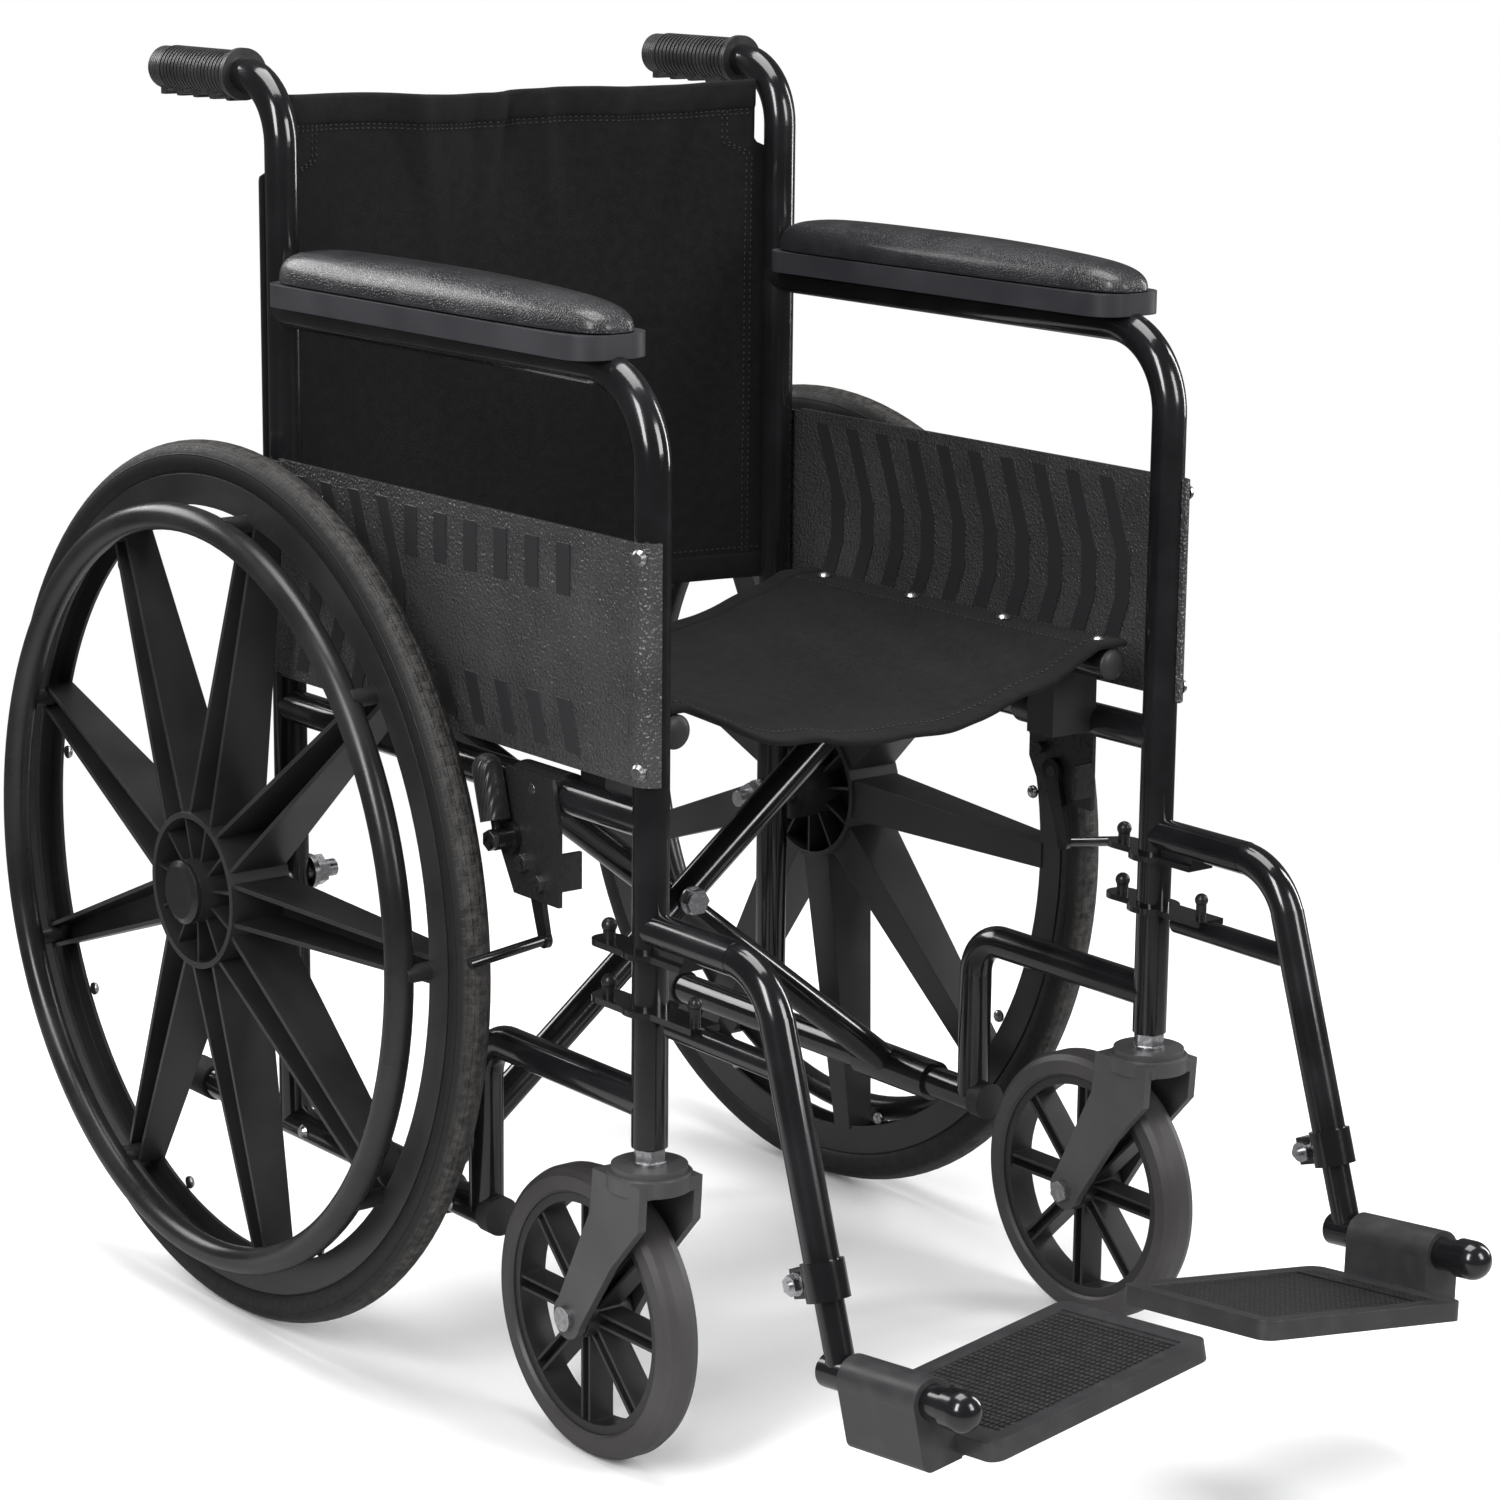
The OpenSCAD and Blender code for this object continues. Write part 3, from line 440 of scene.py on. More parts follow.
@dataclass(frozen=True)
class WovenNylon:
    """Heavy black nylon cloth: basket weave, slubs and a soft nap, with the weave's relief painted in light
    and shade.
    """

    name: str = "black woven nylon"
    pitch: float = 0.0018
    colour: Colour = (0.0085, 0.008, 0.0085)

    def material(self) -> bpy.types.Material:
        """Builds the material on the cloth's own UV map, which is in metres."""
        shade = Shade(
            self.name, self.colour, 0.86, Sheen_Weight=0.035, Sheen_Roughness=0.5, Specular_IOR_Level=0.12
        )
        flat = shade.uv()
        u, v, _ = shade.split(flat)
        weave = shade.math("MULTIPLY", shade.wave(u, self.pitch), shade.wave(v, self.pitch))
        over = shade.span(weave, -1.0, 1.0, 0.0, 1.0)
        slub = shade.noise(flat, 120.0, 5.0)
        # Paler where the weave rises and darker in its hollows: a painted highlight and painted shade of the
        # weave's relief, varied by the random slub tone.
        thread = shade.math("MULTIPLY", over, slub)
        pale = tuple(c * 2.6 for c in self.colour)
        colour = shade.blend(shade.span(thread, 0.1, 0.6, 0.0, 1.0), self.colour, pale)
        rough = shade.span(slub, 0.3, 0.7, 0.74, 0.92)
        return shade.finish(colour, rough, [(over, 0.00032), (slub, 0.0006)])


@dataclass(frozen=True)
class PaddedVinyl:
    """Satin black vinyl over foam, with a fine leather grain."""

    name: str = "satin black vinyl"

    def material(self) -> bpy.types.Material:
        """Builds the material."""
        shade = Shade(self.name, (0.02, 0.02, 0.022), 0.36, Coat_Weight=0.45, Coat_Roughness=0.22)
        at = shade.place()
        cells = shade.cells(at, 520.0, "DISTANCE_TO_EDGE")
        crease = shade.span(cells, 0.0, 0.22, 0.0, 1.0)
        cloud = shade.noise(at, 30.0, 5.0)
        dark, pale = (0.018, 0.018, 0.02), (0.03, 0.029, 0.032)
        colour = shade.blend(shade.span(cloud, 0.35, 0.7, 0.0, 1.0), dark, pale)
        rough = shade.span(cloud, 0.3, 0.7, 0.28, 0.4)
        return shade.finish(colour, rough, [(crease, 0.00016), (cloud, 0.0006)])


@dataclass(frozen=True)
class Thread:
    """Twisted polyester sewing thread."""

    name: str = "sewing thread"

    def material(self) -> bpy.types.Material:
        """Builds the material."""
        shade = Shade(self.name, (0.012, 0.0118, 0.012), 0.6, Sheen_Weight=0.05)
        at = shade.place()
        twist = shade.noise(at, 1800.0, 2.0)
        dark, pale = (0.01, 0.0095, 0.01), (0.024, 0.023, 0.024)
        colour = shade.blend(shade.span(twist, 0.35, 0.65, 0.0, 1.0), dark, pale)
        return shade.finish(colour, None, [(twist, 0.00008)])


# ---------------------------------------------------------------- mesh helpers


class Maker:
    """Turns a bmesh into a finished piece of the chair."""

    @staticmethod
    def piece(bm: bmesh.types.BMesh, name: str, material: bpy.types.Material) -> bpy.types.Object:
        """Makes a smoothly shaded object at the origin from a bmesh.

        Args:
            bm: the shape, which is freed.
            name: the piece's name.
            material: its finish.

        Returns:
            The new object.
        """
        mesh = bpy.data.meshes.new(name)
        bm.to_mesh(mesh)
        bm.free()
        for face in mesh.polygons:
            face.use_smooth = True
        mesh.materials.append(material)
        made = bpy.data.objects.new(name, mesh)
        bpy.context.scene.collection.objects.link(made)
        return made

    @staticmethod
    def loft(bm: bmesh.types.BMesh, rings: Sequence[Sequence[Vector]]) -> None:
        """Bridges closed rings of points one after another and fills the two ends.

        Args:
            bm: where the shape is added.
            rings: rings of equally many points.
        """
        last: list | None = None
        for number, ring in enumerate(rings):
            verts = [bm.verts.new(p) for p in ring]
            edges = [bm.edges.new((a, b)) for a, b in zip(verts, verts[1:] + verts[:1])]
            if last is not None:
                bmesh.ops.bridge_loops(bm, edges=last + edges)
            if number in (0, len(rings) - 1):
                bmesh.ops.contextual_create(bm, geom=edges)
            last = edges
        bmesh.ops.recalc_face_normals(bm, faces=bm.faces[:])

    @staticmethod
    def thicken(made: bpy.types.Object, thickness: float) -> None:
        """Gives a sheet its thickness about its own surface."""
        solid = made.modifiers.new("thickness", "SOLIDIFY")
        solid.thickness = thickness
        solid.offset = 0.0

    @staticmethod
    def subdivide(made: bpy.types.Object, levels: int = 1) -> None:
        """Adds a subdivision surface with equal shown and rendered levels."""
        smooth = made.modifiers.new("smooth", "SUBSURF")
        smooth.levels = smooth.render_levels = levels


Place = Callable[[float, float], Vector]
Row = Sequence[tuple[float, float]]
THREAD_RADIUS = 0.00062 * 1.25
STITCH_STRETCH = 1.9
HEM_POINTS = 16


@dataclass
class Cloth:
    """A rectangular cloth panel laid over a curved surface.

    A point of the panel is given by its share across (-1 to 1) and along (0 to 1).
    """

    name: str
    width: float
    length: float
    surface: Place
    thickness: float = 0.0024
    columns: int = 150
    rows: int = 130

    def build(self, material: bpy.types.Material) -> bpy.types.Object:
        """Lays the panel out and gives it a UV map in metres.

        Args:
            material: the cloth.

        Returns:
            The panel, without a parent.
        """
        bm = bmesh.new()
        bmesh.ops.create_grid(bm, x_segments=self.columns, y_segments=self.rows, size=1.0)
        layer = bm.loops.layers.uv.new("cloth")
        for face in bm.faces:
            for loop in face.loops:
                x, y = loop.vert.co.x, loop.vert.co.y
                loop[layer].uv = (x * self.width / 2, (y + 1) / 2 * self.length)
        for vert in bm.verts:
            vert.co = self.surface(vert.co.x, (vert.co.y + 1) / 2)
        bmesh.ops.recalc_face_normals(bm, faces=bm.faces[:])
        made = Maker.piece(bm, self.name, material)
        Maker.thicken(made, self.thickness)
        return made

    def normal(self, across: float, along: float) -> Vector:
        """The panel's outward direction at a point."""
        step = 0.004
        a = self.surface(min(1.0, across + step), along) - self.surface(max(-1.0, across - step), along)
        b = self.surface(across, min(1.0, along + step)) - self.surface(across, max(0.0, along - step))
        return a.cross(b).normalized()

    def hem(
        self, name: str, material: bpy.types.Material, line: Row, half_wide: Vector, proud: float = 0.0026
    ) -> bpy.types.Object:
        """A turned-over hem that wraps one edge.

        Args:
            name: the piece's name.
            material: the cloth.
            line: shares across and along of the points it follows.
            half_wide: half the hem's width as a direction in the panel.
            proud: half the hem's thickness.

        Returns:
            The hem.
        """
        rings = []
        for across, along in line:
            centre = self.surface(across, along)
            up = self.normal(across, along)
            side = (half_wide - up * half_wide.dot(up)).normalized() * half_wide.length
            ring = []
            for k in range(HEM_POINTS):
                turn = 2 * math.pi * k / HEM_POINTS
                wide = math.copysign(abs(math.cos(turn)) ** 0.45, math.cos(turn))
                high = math.copysign(abs(math.sin(turn)) ** 0.8, math.sin(turn))
                ring.append(centre + side * wide + up * high * proud)
            rings.append(ring)
        bm = bmesh.new()
        Maker.loft(bm, rings)
        layer = bm.loops.layers.uv.new("cloth")
        for face in bm.faces:
            for loop in face.loops:
                co = loop.vert.co
                loop[layer].uv = (co.x, co.y + co.z)
        return Maker.piece(bm, name, material)

    def stitches(
        self,
        name: str,
        material: bpy.types.Material,
        runs: Sequence[Row],
        lift: float,
        pitch: float = 0.0046,
    ) -> bpy.types.Object:
        """Rows of raised stitches on the panel's face.

        Args:
            name: the piece's name.
            material: the thread.
            runs: for each row, shares across and along of its points.
            lift: height of the thread above the panel's middle.
            pitch: distance from stitch to stitch.

        Returns:
            The stitches as one piece.
        """
        bm = bmesh.new()
        for run in runs:
            points = [(self.surface(a, b), self.normal(a, b)) for a, b in run]
            walked, target = 0.0, pitch / 2
            for (p, n), (q, _) in zip(points, points[1:]):
                long = (q - p).length
                while long > 0 and target <= walked + long:
                    spot = p.lerp(q, (target - walked) / long) + n * lift
                    turn = (q - p).to_track_quat("Z", "Y").to_matrix().to_4x4()
                    long_bead = Matrix.Diagonal((1.0, 1.0, STITCH_STRETCH, 1.0))
                    shape = Matrix.Translation(spot) @ turn @ long_bead
                    bmesh.ops.create_icosphere(bm, subdivisions=1, radius=THREAD_RADIUS, matrix=shape)
                    target += pitch
                walked += long
        return Maker.piece(bm, name, material)


def along_line(start: tuple[float, float], end: tuple[float, float], count: int) -> list[tuple[float, float]]:
    """Evenly spaced points between two points of a panel."""
    return [
        (start[0] + (end[0] - start[0]) * k / count, start[1] + (end[1] - start[1]) * k / count)
        for k in range(count + 1)
    ]


def across_row(along: float, half: float = 1.0, count: int = 90) -> list[tuple[float, float]]:
    """Evenly spaced points straight across a panel, from one share to its mirror image."""
    return along_line((-half, along), (half, along), count)


# ---------------------------------------------------------------- upholstery


@dataclass
class SeatUpholstery:
    """The sling seat between the two seat rails, screwed down along both."""

    reach: float = 0.169
    edge: float = 0.194
    sag: float = 0.031
    front: float = AXLE_Y - 0.4026
    rear: float = AXLE_Y - 0.0596
    level: float = 0.48705
    frill: float = 0.011

    def surface(self, across: float, along: float) -> Vector:
        """Where a point of the seat lies.

        Args:
            across: -1 at the right rail to 1 at the left.
            along: 0 at the front edge to 1 at the rear.

        Returns:
            The point.
        """
        x = across * self.edge
        y = self.front + (self.rear - self.front) * along
        if abs(x) >= self.reach:
            return Vector((x, y, self.level))
        share = x / self.reach
        hollow = 1 - share * share
        near_front = math.exp(-along * 9.0)
        near_rear = math.exp(-(1 - along) * 10.0)
        z = self.level - (self.sag + self.frill * near_front) * hollow ** 0.92
        ripple = math.sin(share * 13.0 + 0.7 + along * 5) * 0.0016 * near_front
        ripple += math.sin(share * 8.0 - 1.1 - along * 4) * 0.0014 * near_rear
        pull = math.sin((abs(share) * 1.3 - along * 0.9) * 17.0) * 0.0008 * abs(share) ** 0.6
        puff = noise.noise(Vector((x * 16, y * 16, 3.7))) * 0.0028
        puff += noise.noise(Vector((x * 45 + y * 20, y * 30, 8.1))) * 0.0011 * (near_front + near_rear)
        creep = (0.004 * near_front - 0.003 * near_rear) * hollow
        z += (ripple + pull + puff) * min(1.0, hollow * 3)
        return Vector((x, y + creep, z))

    def build(self, cloth: bpy.types.Material, thread: bpy.types.Material) -> None:
        """Makes the seat, its hems and its stitching."""
        width = 2 * self.edge + (8 / 3) * self.sag**2 / (2 * self.reach)
        length = self.rear - self.front
        panel = Cloth("seat_sling", width, length, self.surface)
        sheet = panel.build(cloth)
        front = panel.hem("seat_front_hem", cloth, across_row(0.03), Vector((0, 0.0105, 0)))
        rear = panel.hem("seat_rear_hem", cloth, across_row(0.972), Vector((0, 0.0095, 0)))
        rows = [across_row(v, 0.97, 120) for v in (0.043, 0.052, 0.951)]
        rows += [along_line((s * u, 0.06), (s * u, 0.94), 80) for s in (-1, 1) for u in (0.862, 0.985)]
        sewing = panel.stitches("seat_stitching", thread, rows, 0.0013)
        hem_row = across_row(0.038, 0.97, 120)
        hem_sewing = panel.stitches("seat_hem_stitching", thread, [hem_row], 0.0028)
        for made in (sheet, front, rear, sewing, hem_sewing):
            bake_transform(made)
        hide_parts("seat_upholstery")
        LOG.info("seat upholstery: %.3f by %.3f m", width, length)


@dataclass
class BackUpholstery:
    """The back sling fixed behind the two canes."""

    reach: float = 0.207
    edge: float = 0.2205
    sag: float = 0.021
    low: float = 0.470
    high: float = 0.838
    face: float = AXLE_Y + 0.0133
    notch: float = 0.0225
    creases: tuple[tuple[float, float, float, float], ...] = (
        (-0.42, 0.25, 0.055, 0.0085), (-0.06, -0.3, 0.04, 0.011), (0.1, 0.2, 0.045, 0.0075),
        (0.4, -0.35, 0.06, 0.009), (0.7, -0.5, 0.06, 0.006),
    )

    def surface(self, across: float, along: float) -> Vector:
        """Where a point of the back lies.

        Args:
            across: -1 at the right cane to 1 at the left.
            along: 0 at the lower edge to 1 at the top.

        Returns:
            The point.
        """
        z = self.low + (self.high - self.low) * along
        rise = min(1.0, max(0.0, (z - 0.783) / 0.012))
        x = across * (self.edge - self.notch * rise * rise * (3 - 2 * rise))
        if abs(x) >= self.reach:
            return Vector((x, self.face, z))
        share = x / self.reach
        hollow = 1 - share * share
        near_top = math.exp(-(1 - along) * 4.5)
        near_low = math.exp(-along * 6.0)
        y = self.face + self.sag * hollow
        folds = math.cos(share * 8.5 + 0.4) * 0.005 * near_top
        folds += math.sin(share * 6.0 + 0.9) * 0.0016 * near_low
        for place, lean, wide, deep in self.creases:
            off = (share - place - lean * (1 - along)) / wide
            folds -= math.exp(-off * off) * deep * near_top * (1 - 0.5 * math.exp(-(1 - along) * 30))
        puff = noise.noise(Vector((x * 13, 5.1, z * 9))) * 0.0034
        puff += noise.noise(Vector((x * 34, 1.7, z * 15 + x * 20))) * 0.0009
        drop = -0.0045 * hollow * near_top + 0.002 * math.sin(share * 7.0) * near_top * hollow
        return Vector((x, y + (folds + puff) * min(1.0, hollow * 2.5), z + drop))

    def build(self, cloth: bpy.types.Material, thread: bpy.types.Material) -> None:
        """Makes the back, its hems and its stitching."""
        width = 2 * self.edge + (8 / 3) * self.sag**2 / (2 * self.reach)
        length = self.high - self.low
        panel = Cloth("back_sling", width, length, self.surface)
        sheet = panel.build(cloth)
        top = panel.hem("back_top_hem", cloth, across_row(0.972), Vector((0, 0, 0.0105)))
        low = panel.hem("back_lower_hem", cloth, across_row(0.026), Vector((0, 0, 0.0095)))
        rows = [across_row(v, 0.99, 120) for v in (0.934, 0.942, 0.062)]
        rows += [along_line((s * u, 0.05), (s * u, 0.95), 90) for s in (-1, 1) for u in (0.87, 0.89)]
        sewing = panel.stitches("back_stitching", thread, rows, 0.0013)
        behind = panel.stitches("back_rear_stitching", thread, rows, -0.0013)
        for made in (sheet, top, low, sewing, behind):
            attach(made, "right_side")
            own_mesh(made)
        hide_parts("back_upholstery")
        LOG.info("back upholstery: %.3f by %.3f m", width, length)


@dataclass
class ArmPad:
    """A foam arm pad in vinyl, on its plastic base."""

    side: Side
    swell: float = 0.0014
    pressure: float = 4.0
    frames: int = 20
    stations: int = 72
    around: int = 44

    def shape(self) -> bmesh.types.BMesh:
        """The pad before it swells: a loaf, crowned across and lower towards the front."""
        low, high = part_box(f"{self.side.word}_arm_pad")
        centre, size = (low + high) / 2, high - low
        wide, long, tall = size.x / 2 - 0.0015, size.y / 2 - 0.0015, size.z - 0.0022
        rings = []
        for number in range(self.stations + 1):
            share = -math.cos(math.pi * number / self.stations) * 0.9995
            shrink = (1 - abs(share) ** 9) ** (1 / 3)
            slope = min(1.0, (share + 1) / 1.1)
            crown = tall * (0.7 + 0.3 * slope * (2 - slope)) * (1 - abs(share) ** 12) ** 0.45
            half_wide = wide * (0.93 + 0.07 * min(1.0, (share + 1) / 0.6)) * shrink
            ring = []
            for k in range(self.around):
                turn = 2 * math.pi * k / self.around
                c, s = math.cos(turn), math.sin(turn)
                x = math.copysign(abs(c) ** 0.62, c) * half_wide
                z = abs(s) ** 0.82 * crown if s > 0 else -abs(s) ** 0.3 * 0.0012
                ring.append(Vector((centre.x + x, centre.y + share * long, low.z + 0.0014 + z)))
            rings.append(ring)
        bm = bmesh.new()
        Maker.loft(bm, rings)
        return bm

    def inflate(self, made: bpy.types.Object) -> None:
        """Swells the pad with a cloth simulation and caps how far a point moves."""
        bpy.context.view_layer.objects.active = made
        before = [v.co.copy() for v in made.data.vertices]
        floor = min(v.z for v in before)
        held = made.vertex_groups.new(name="held")
        held.add([i for i, co in enumerate(before) if co.z < floor + 0.003], 1.0, "REPLACE")
        cloth = made.modifiers.new("foam", "CLOTH")
        cloth.settings.effector_weights.gravity = 0.0
        cloth.settings.use_pressure = True
        cloth.settings.uniform_pressure_force = self.pressure
        cloth.settings.vertex_group_mass = "held"
        cloth.settings.quality = 5
        cloth.point_cache.frame_start, cloth.point_cache.frame_end = 1, self.frames
        for number in range(1, self.frames + 1):
            bpy.context.scene.frame_set(number)
        self.settle(made)
        bpy.context.scene.frame_set(1)
        for vert, start in zip(made.data.vertices, before):
            move = vert.co - start
            if move.length > self.swell:
                vert.co = start + move.normalized() * self.swell
        made.vertex_groups.clear()

    @staticmethod
    def settle(made: bpy.types.Object) -> None:
        """Applies the piece's modifiers, leaving the resulting mesh."""
        graph = bpy.context.evaluated_depsgraph_get()
        mesh = bpy.data.meshes.new_from_object(made.evaluated_get(graph))
        made.modifiers.clear()
        made.data = mesh

    def build(self, vinyl: bpy.types.Material) -> None:
        """Makes the pad and fixes it to its side frame."""
        made = Maker.piece(self.shape(), f"{self.side.word}_padded_armrest", vinyl)
        self.inflate(made)
        low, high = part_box(f"{self.side.word}_arm_pad")
        for vert in made.data.vertices:
            vert.co.z = max(vert.co.z, low.z)
        for face in made.data.polygons:
            face.use_smooth = True
        Maker.subdivide(made)
        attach(made, f"{self.side.word}_side")
        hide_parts(f"{self.side.word}_arm_pad")
        LOG.info("%s arm pad: %d vertices", self.side.word, len(made.data.vertices))


# ---------------------------------------------------------------- studio


@dataclass
class Studio:
    """Pale floor, soft lights and the camera."""

    eye: tuple[float, float, float] = (-1.6197, AXLE_Y - 2.3273, 1.0025)
    heading: float = 37.859
    pitch: float = 12.648
    roll: float = 0.587
    lens: float = 96.58
    fade: tuple[float, float] = (0.72, 1.5)
    ambient: float = 0.66
    mirrored: float = 0.1
    floor_mirrored: float = 0.4
    gamma: float = 0.92
    lights: list[tuple[str, tuple[float, float, float], tuple[float, float], float]] = field(
        default_factory=lambda: [
            ("key softbox", (-2.7, -1.2, 2.2), (0.9, 2.2), 84.0),
            ("front softbox", (0.9, -3.1, 1.9), (1.0, 1.7), 52.0),
            ("side strip", (3.0, -0.6, 1.4), (0.5, 2.2), 40.0),
            ("top softbox", (0.0, 0.2, 3.0), (1.9, 1.9), 66.0),
            ("rear strip", (-0.9, 2.9, 1.9), (1.6, 1.2), 36.0),
        ]
    )

    def floor(self) -> None:
        """A pale floor with a barely visible grain that fades out far from the chair, painted a dim grey
        where it is seen in reflections.
        """
        shade = Shade("pale floor", (0.95, 0.95, 0.95), 0.6, Specular_IOR_Level=0.2)
        at = shade.place()
        cloud = shade.noise(at, 3.0, 2.0)
        grain = shade.blend(cloud, (0.94, 0.94, 0.94), (0.96, 0.96, 0.96))
        # In reflections the floor is painted the dim grey floor_mirrored: a painted darkening of what the
        # chair's gloss mirrors.
        seen = shade.node("LightPath").outputs["Is Glossy Ray"]
        floor = shade.finish(shade.over(seen, grain, (self.floor_mirrored,) * 3))
        away = shade.node("VectorMath", {0: at}, operation="LENGTH").outputs["Value"]
        share = shade.span(away, self.fade[0], self.fade[1], 0.0, 1.0)
        clear = shade.node("BsdfTransparent").outputs[0]
        mixed = shade.node("MixShader", {0: share, 1: shade.shader.outputs[0], 2: clear}).outputs[0]
        shade.tree.links.new(mixed, shade.tree.nodes["Material Output"].inputs["Surface"])
        bm = bmesh.new()
        bmesh.ops.create_circle(bm, cap_ends=True, segments=64, radius=self.fade[1] + 0.2)
        Maker.piece(bm, "studio_floor", floor)

    def surround(self) -> bpy.types.World:
        """A white backdrop that is dimmer in reflections than it looks."""
        world = bpy.data.worlds.new("studio")
        world.use_nodes = True
        tree = world.node_tree
        back = tree.nodes["Background"]
        path = tree.nodes.new("ShaderNodeLightPath")
        glossy = tree.nodes.new("ShaderNodeMath")
        glossy.operation = "MULTIPLY_ADD"
        glossy.inputs[1].default_value = self.mirrored - self.ambient
        glossy.inputs[2].default_value = self.ambient
        tree.links.new(path.outputs["Is Glossy Ray"], glossy.inputs[0])
        seen = tree.nodes.new("ShaderNodeMath")
        seen.operation = "MAXIMUM"
        tree.links.new(path.outputs["Is Camera Ray"], seen.inputs[0])
        tree.links.new(glossy.outputs[0], seen.inputs[1])
        tree.links.new(seen.outputs[0], back.inputs["Strength"])
        back.inputs["Color"].default_value = (1.0, 1.0, 1.0, 1.0)
        return world

    def camera(self) -> None:
        """Sets up the camera at the eye point."""
        yaw, down, roll = (math.radians(a) for a in (self.heading, self.pitch, self.roll))
        ahead = Vector((math.sin(yaw) * math.cos(down), math.cos(yaw) * math.cos(down), -math.sin(down)))
        right = Vector((math.cos(yaw), -math.sin(yaw), 0.0))
        up = right.cross(ahead)
        tilted_right = right * math.cos(roll) + up * math.sin(roll)
        tilted_up = up * math.cos(roll) - right * math.sin(roll)
        data = bpy.data.cameras.new("camera")
        data.lens = self.lens
        data.sensor_width = 36.0
        data.clip_end = 60.0
        made = bpy.data.objects.new("camera", data)
        turn = Matrix((tilted_right, tilted_up, -ahead)).transposed().to_4x4()
        made.matrix_world = Matrix.Translation(self.eye) @ turn
        bpy.context.scene.collection.objects.link(made)
        bpy.context.scene.camera = made

    def build(self) -> None:
        """Adds floor, world, lights and camera."""
        self.floor()
        self.camera()
        scene = bpy.context.scene
        scene.world = self.surround()
        scene.view_settings.gamma = self.gamma
        scene.view_settings.view_transform = "Standard"
        for name, where, size, power in self.lights:
            data = bpy.data.lights.new(name, "AREA")
            data.shape = "RECTANGLE"
            data.size, data.size_y = size
            data.energy = power
            made = bpy.data.objects.new(name, data)
            aim = (Vector((0.0, 0.0, 0.45)) - Vector(where)).to_track_quat("-Z", "Y")
            made.matrix_world = Matrix.Translation(where) @ aim.to_matrix().to_4x4()
            scene.collection.objects.link(made)
        LOG.info("studio ready")


# ---------------------------------------------------------------- dressing the frame


@dataclass
class Dressing:
    """Gives every carried-over node its finish."""

    axle: tuple[float, float] = (AXLE_Y, WHEEL_RADIUS)
    foot: tuple[float, float, float] = (0.211, AXLE_Y - 0.609756, 0.13027)
    rise: float = math.radians(6.0)
    tilt: float = math.radians(8.0)

    def plate_finish(self, side: Side) -> bpy.types.Material:
        """The footplate's finish, laid in the plate's own directions."""
        s = side.value
        turn = Matrix.Rotation(-self.rise, 3, "X") @ Matrix.Rotation(s * self.tilt, 3, "Y")
        centre = Vector((s * self.foot[0], *self.foot[1:])) + turn @ Vector((-s * 0.099, -0.0495, -0.025))
        return TreadPlate(
            f"{side.word} footplate plastic", tuple(centre), tuple(turn.to_euler()), (0.072, 0.0525)
        ).material()

    def finishes(self) -> dict[str, bpy.types.Material]:
        """The finish of each kind of node, by the end of its name."""
        powder = PowderCoat().material()
        zinc = PlatedSteel().material()
        satin = Moulded("satin black plastic", (0.026, 0.026, 0.028), (0.038, 0.037, 0.039)).material()
        wheel = Moulded(
            "grey-black wheel plastic", (0.02, 0.0195, 0.02), (0.031, 0.03, 0.0305), 0.36
        ).material()
        rim = Moulded(
            "handrim plastic", (0.014, 0.014, 0.015), (0.026, 0.0255, 0.027), 0.27, 900.0
        ).material()
        fork = Moulded(
            "matte fork plastic", (0.055, 0.053, 0.054), (0.075, 0.072, 0.074), 0.46, 700.0, 0.0001
        ).material()
        band = Moulded("blue-grey arm base", (0.03, 0.03, 0.035), (0.042, 0.042, 0.048), 0.46).material()
        cap = Moulded(
            "black cap rubber", (0.02, 0.02, 0.02), (0.034, 0.033, 0.033), 0.62, 900.0, 0.00008
        ).material()
        tyre = TyreRubber("rear tyre rubber", self.axle, WHEEL_PLANE, WHEEL_RADIUS).material()
        small = Moulded(
            "grey caster tyre", (0.04, 0.037, 0.038), (0.06, 0.056, 0.057), 0.42, 500.0
        ).material()
        pins = PaintAndPlate("black pins, plated clamp bolt", below=0.28).material()
        bracket = PaintAndPlate("black bracket with a plated rivet", beyond=0.22555, above=0.41).material()
        grip = GripRubber().material()
        return {
            "cane": powder, "arm_tube": powder, "rails": powder, "hanger": powder, "footrest_tube": powder,
            "brace": powder, "brake_bracket": bracket, "brake_lever": powder, "brake_shoe": powder,
            "axle": zinc, "frame_screws": zinc, "caster_bolts": zinc, "hanger_fittings": pins,
            "fasteners": zinc, "seat_screws": zinc, "grip": grip, "brake_grip": grip,
            "arm_base": band, "side_panel": PebbledPanel().material(), "seat_saddles": satin,
            "rail_caps": cap, "wheel": wheel, "caster_wheel": wheel, "handrim": rim, "hub_cap": rim,
            "caster_fork": fork, "tyre": tyre, "caster_tyre": small,
        }

    def build(self) -> None:
        """Assigns the finishes."""
        known = self.finishes()
        plates = {side.word: self.plate_finish(side) for side in Side}
        for name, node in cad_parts.items():
            if node.hide_render:
                continue
            if name.endswith("footplate"):
                chosen = plates[name.split("_")[0]]
            else:
                ends = [end for end in known if name.endswith(end)]
                if not ends:
                    LOG.warning("%s keeps its plain finish", name)
                    continue
                chosen = known[max(ends, key=len)]
            if not node.data.materials:
                node.data.materials.append(chosen)
            for number in range(len(node.data.materials)):
                node.data.materials[number] = chosen
            LOG.info("%s: %s", name, chosen.name)


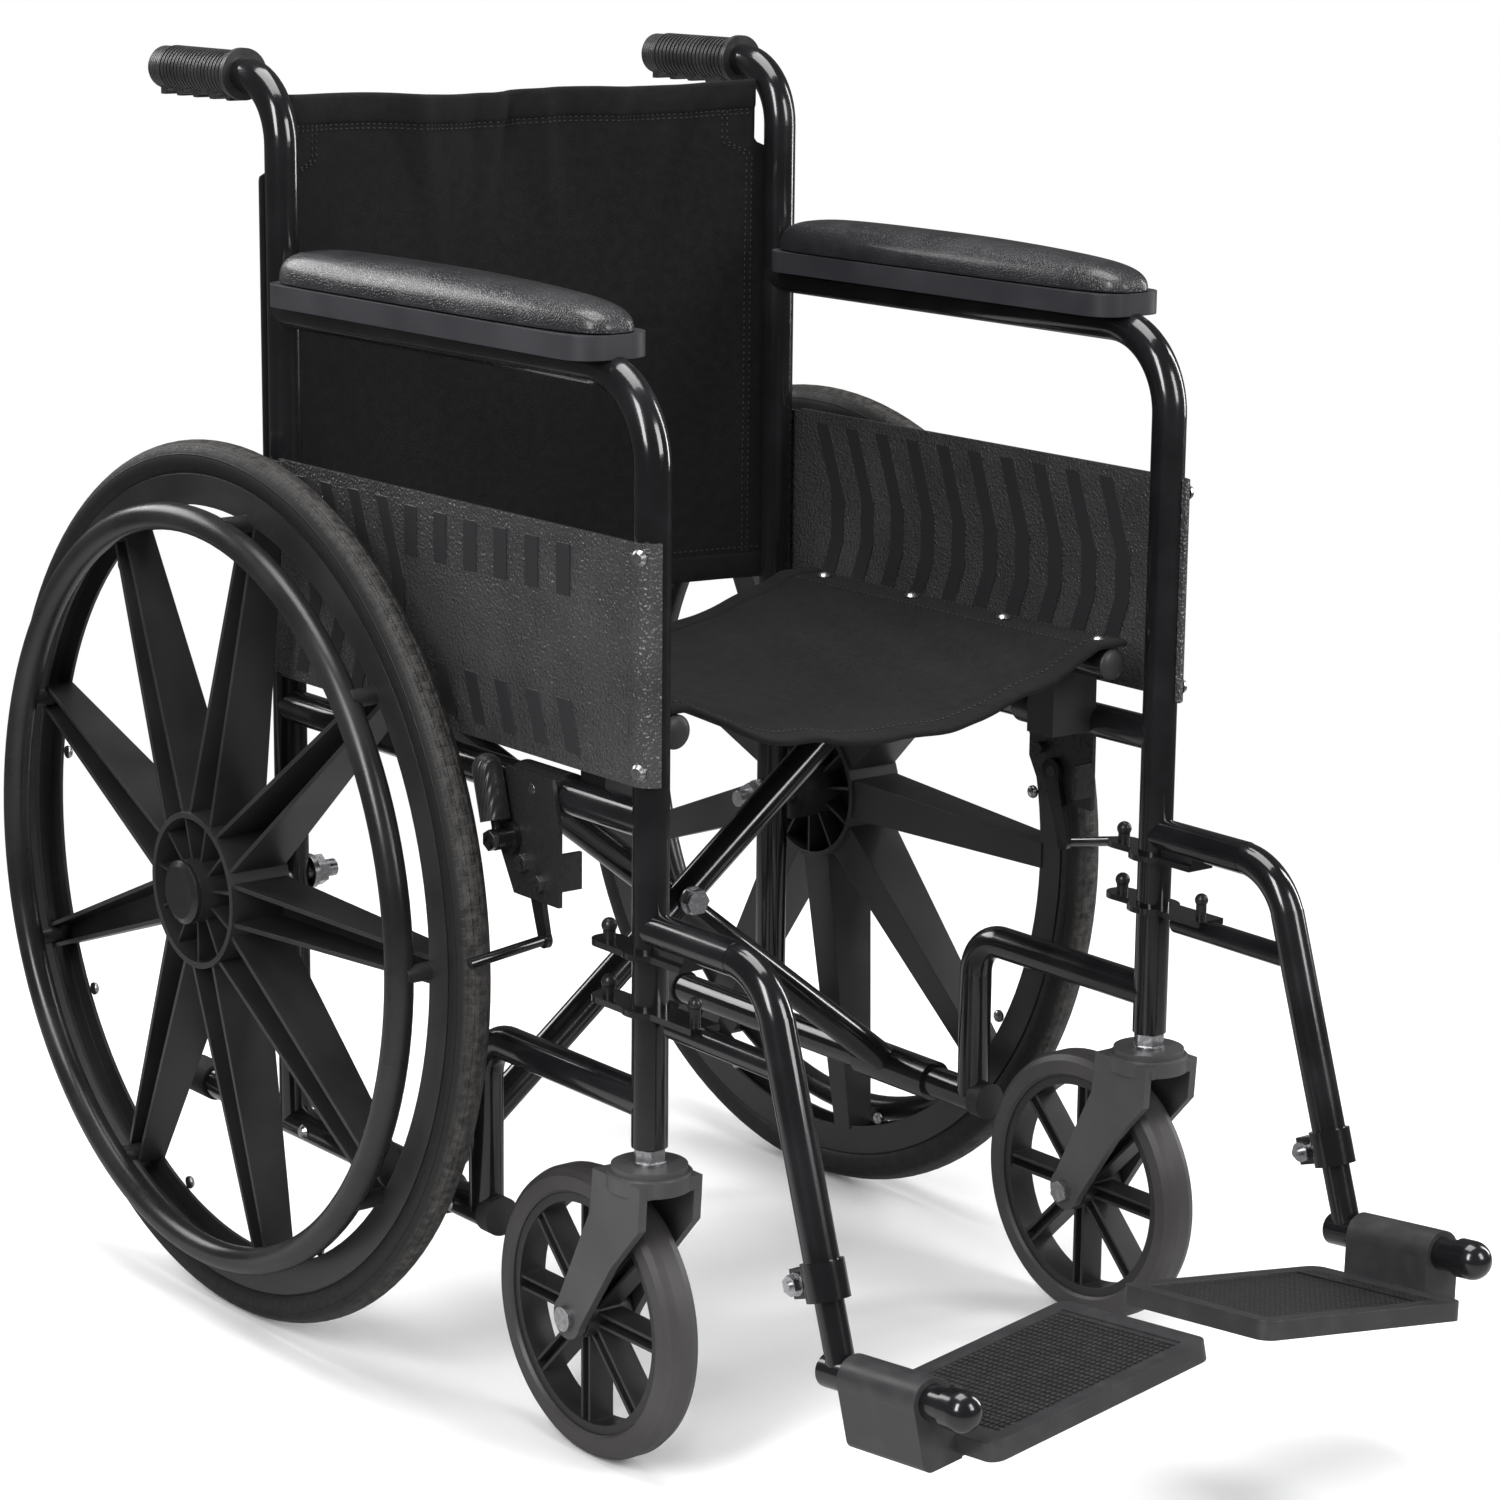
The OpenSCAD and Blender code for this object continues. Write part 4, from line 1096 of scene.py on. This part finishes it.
@dataclass
class SmallFittings:
    """Rail plugs and handrim screws, which are too small to be nodes of their own."""

    rail: tuple[float, float] = (0.181, 0.474)
    ends: tuple[float, float] = (AXLE_Y - 0.402, AXLE_Y - 0.058)
    lug_radius: float = 0.257
    lug_inset: float = 0.012
    lugs: int = 9
    dome_points: int = 14

    def dome(self, bm: bmesh.types.BMesh, at: Vector, towards: Vector, radius: float, high: float) -> None:
        """Adds a low dome with a short skirt behind it.

        Args:
            bm: where it is added.
            at: centre of its base.
            towards: the way it bulges.
            radius: its radius.
            high: its height.
        """
        turn = towards.to_track_quat("Z", "Y").to_matrix()
        rings = []
        for share in (-0.6, 0.0, 0.45, 0.8, 0.97):
            wide = radius if share <= 0 else radius * math.sqrt(1 - share * share)
            ring = []
            for k in range(self.dome_points):
                angle = 2 * math.pi * k / self.dome_points
                spot = Vector((math.cos(angle) * wide, math.sin(angle) * wide, share * high))
                ring.append(at + turn @ spot)
            rings.append(ring)
        Maker.loft(bm, rings)

    def build(self, plastic: bpy.types.Material, zinc: bpy.types.Material) -> None:
        """Makes the plugs and the screws."""
        for side in Side:
            plugs, screws = bmesh.new(), bmesh.new()
            for end, way in zip(self.ends, (-1, 1)):
                spot = Vector((side.value * self.rail[0], end, self.rail[1]))
                self.dome(plugs, spot, Vector((0, way, 0)), 0.0108, 0.003)
            made = Maker.piece(plugs, f"{side.word}_rail_plugs", plastic)
            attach(made, f"{side.word}_brace_body")
            for number in range(self.lugs):
                angle = 2 * math.pi * number / self.lugs
                y, z = math.sin(angle) * self.lug_radius, math.cos(angle) * self.lug_radius
                spot = Vector((side.value * (WHEEL_PLANE - self.lug_inset), AXLE_Y + y, WHEEL_RADIUS + z))
                self.dome(screws, spot, Vector((-side.value, 0, 0)), 0.0046, 0.0024)
            made = Maker.piece(screws, f"{side.word}_handrim_screws", zinc)
            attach(made, f"{side.word}_rear_wheel")


# ---------------------------------------------------------------- main


def main() -> None:
    """Builds the chair's looks in order."""
    logging.basicConfig(level=logging.INFO, format="%(name)s: %(message)s")
    Studio().build()
    nylon, thread, vinyl = WovenNylon().material(), Thread().material(), PaddedVinyl().material()
    SeatUpholstery().build(nylon, thread)
    BackUpholstery().build(nylon, thread)
    for side in Side:
        ArmPad(side).build(vinyl)
    plug = Moulded("rail plug plastic", (0.02, 0.02, 0.02), (0.03, 0.03, 0.03)).material()
    SmallFittings().build(plug, PlatedSteel().material())
    Dressing().build()


if __name__ == "__main__":
    main()
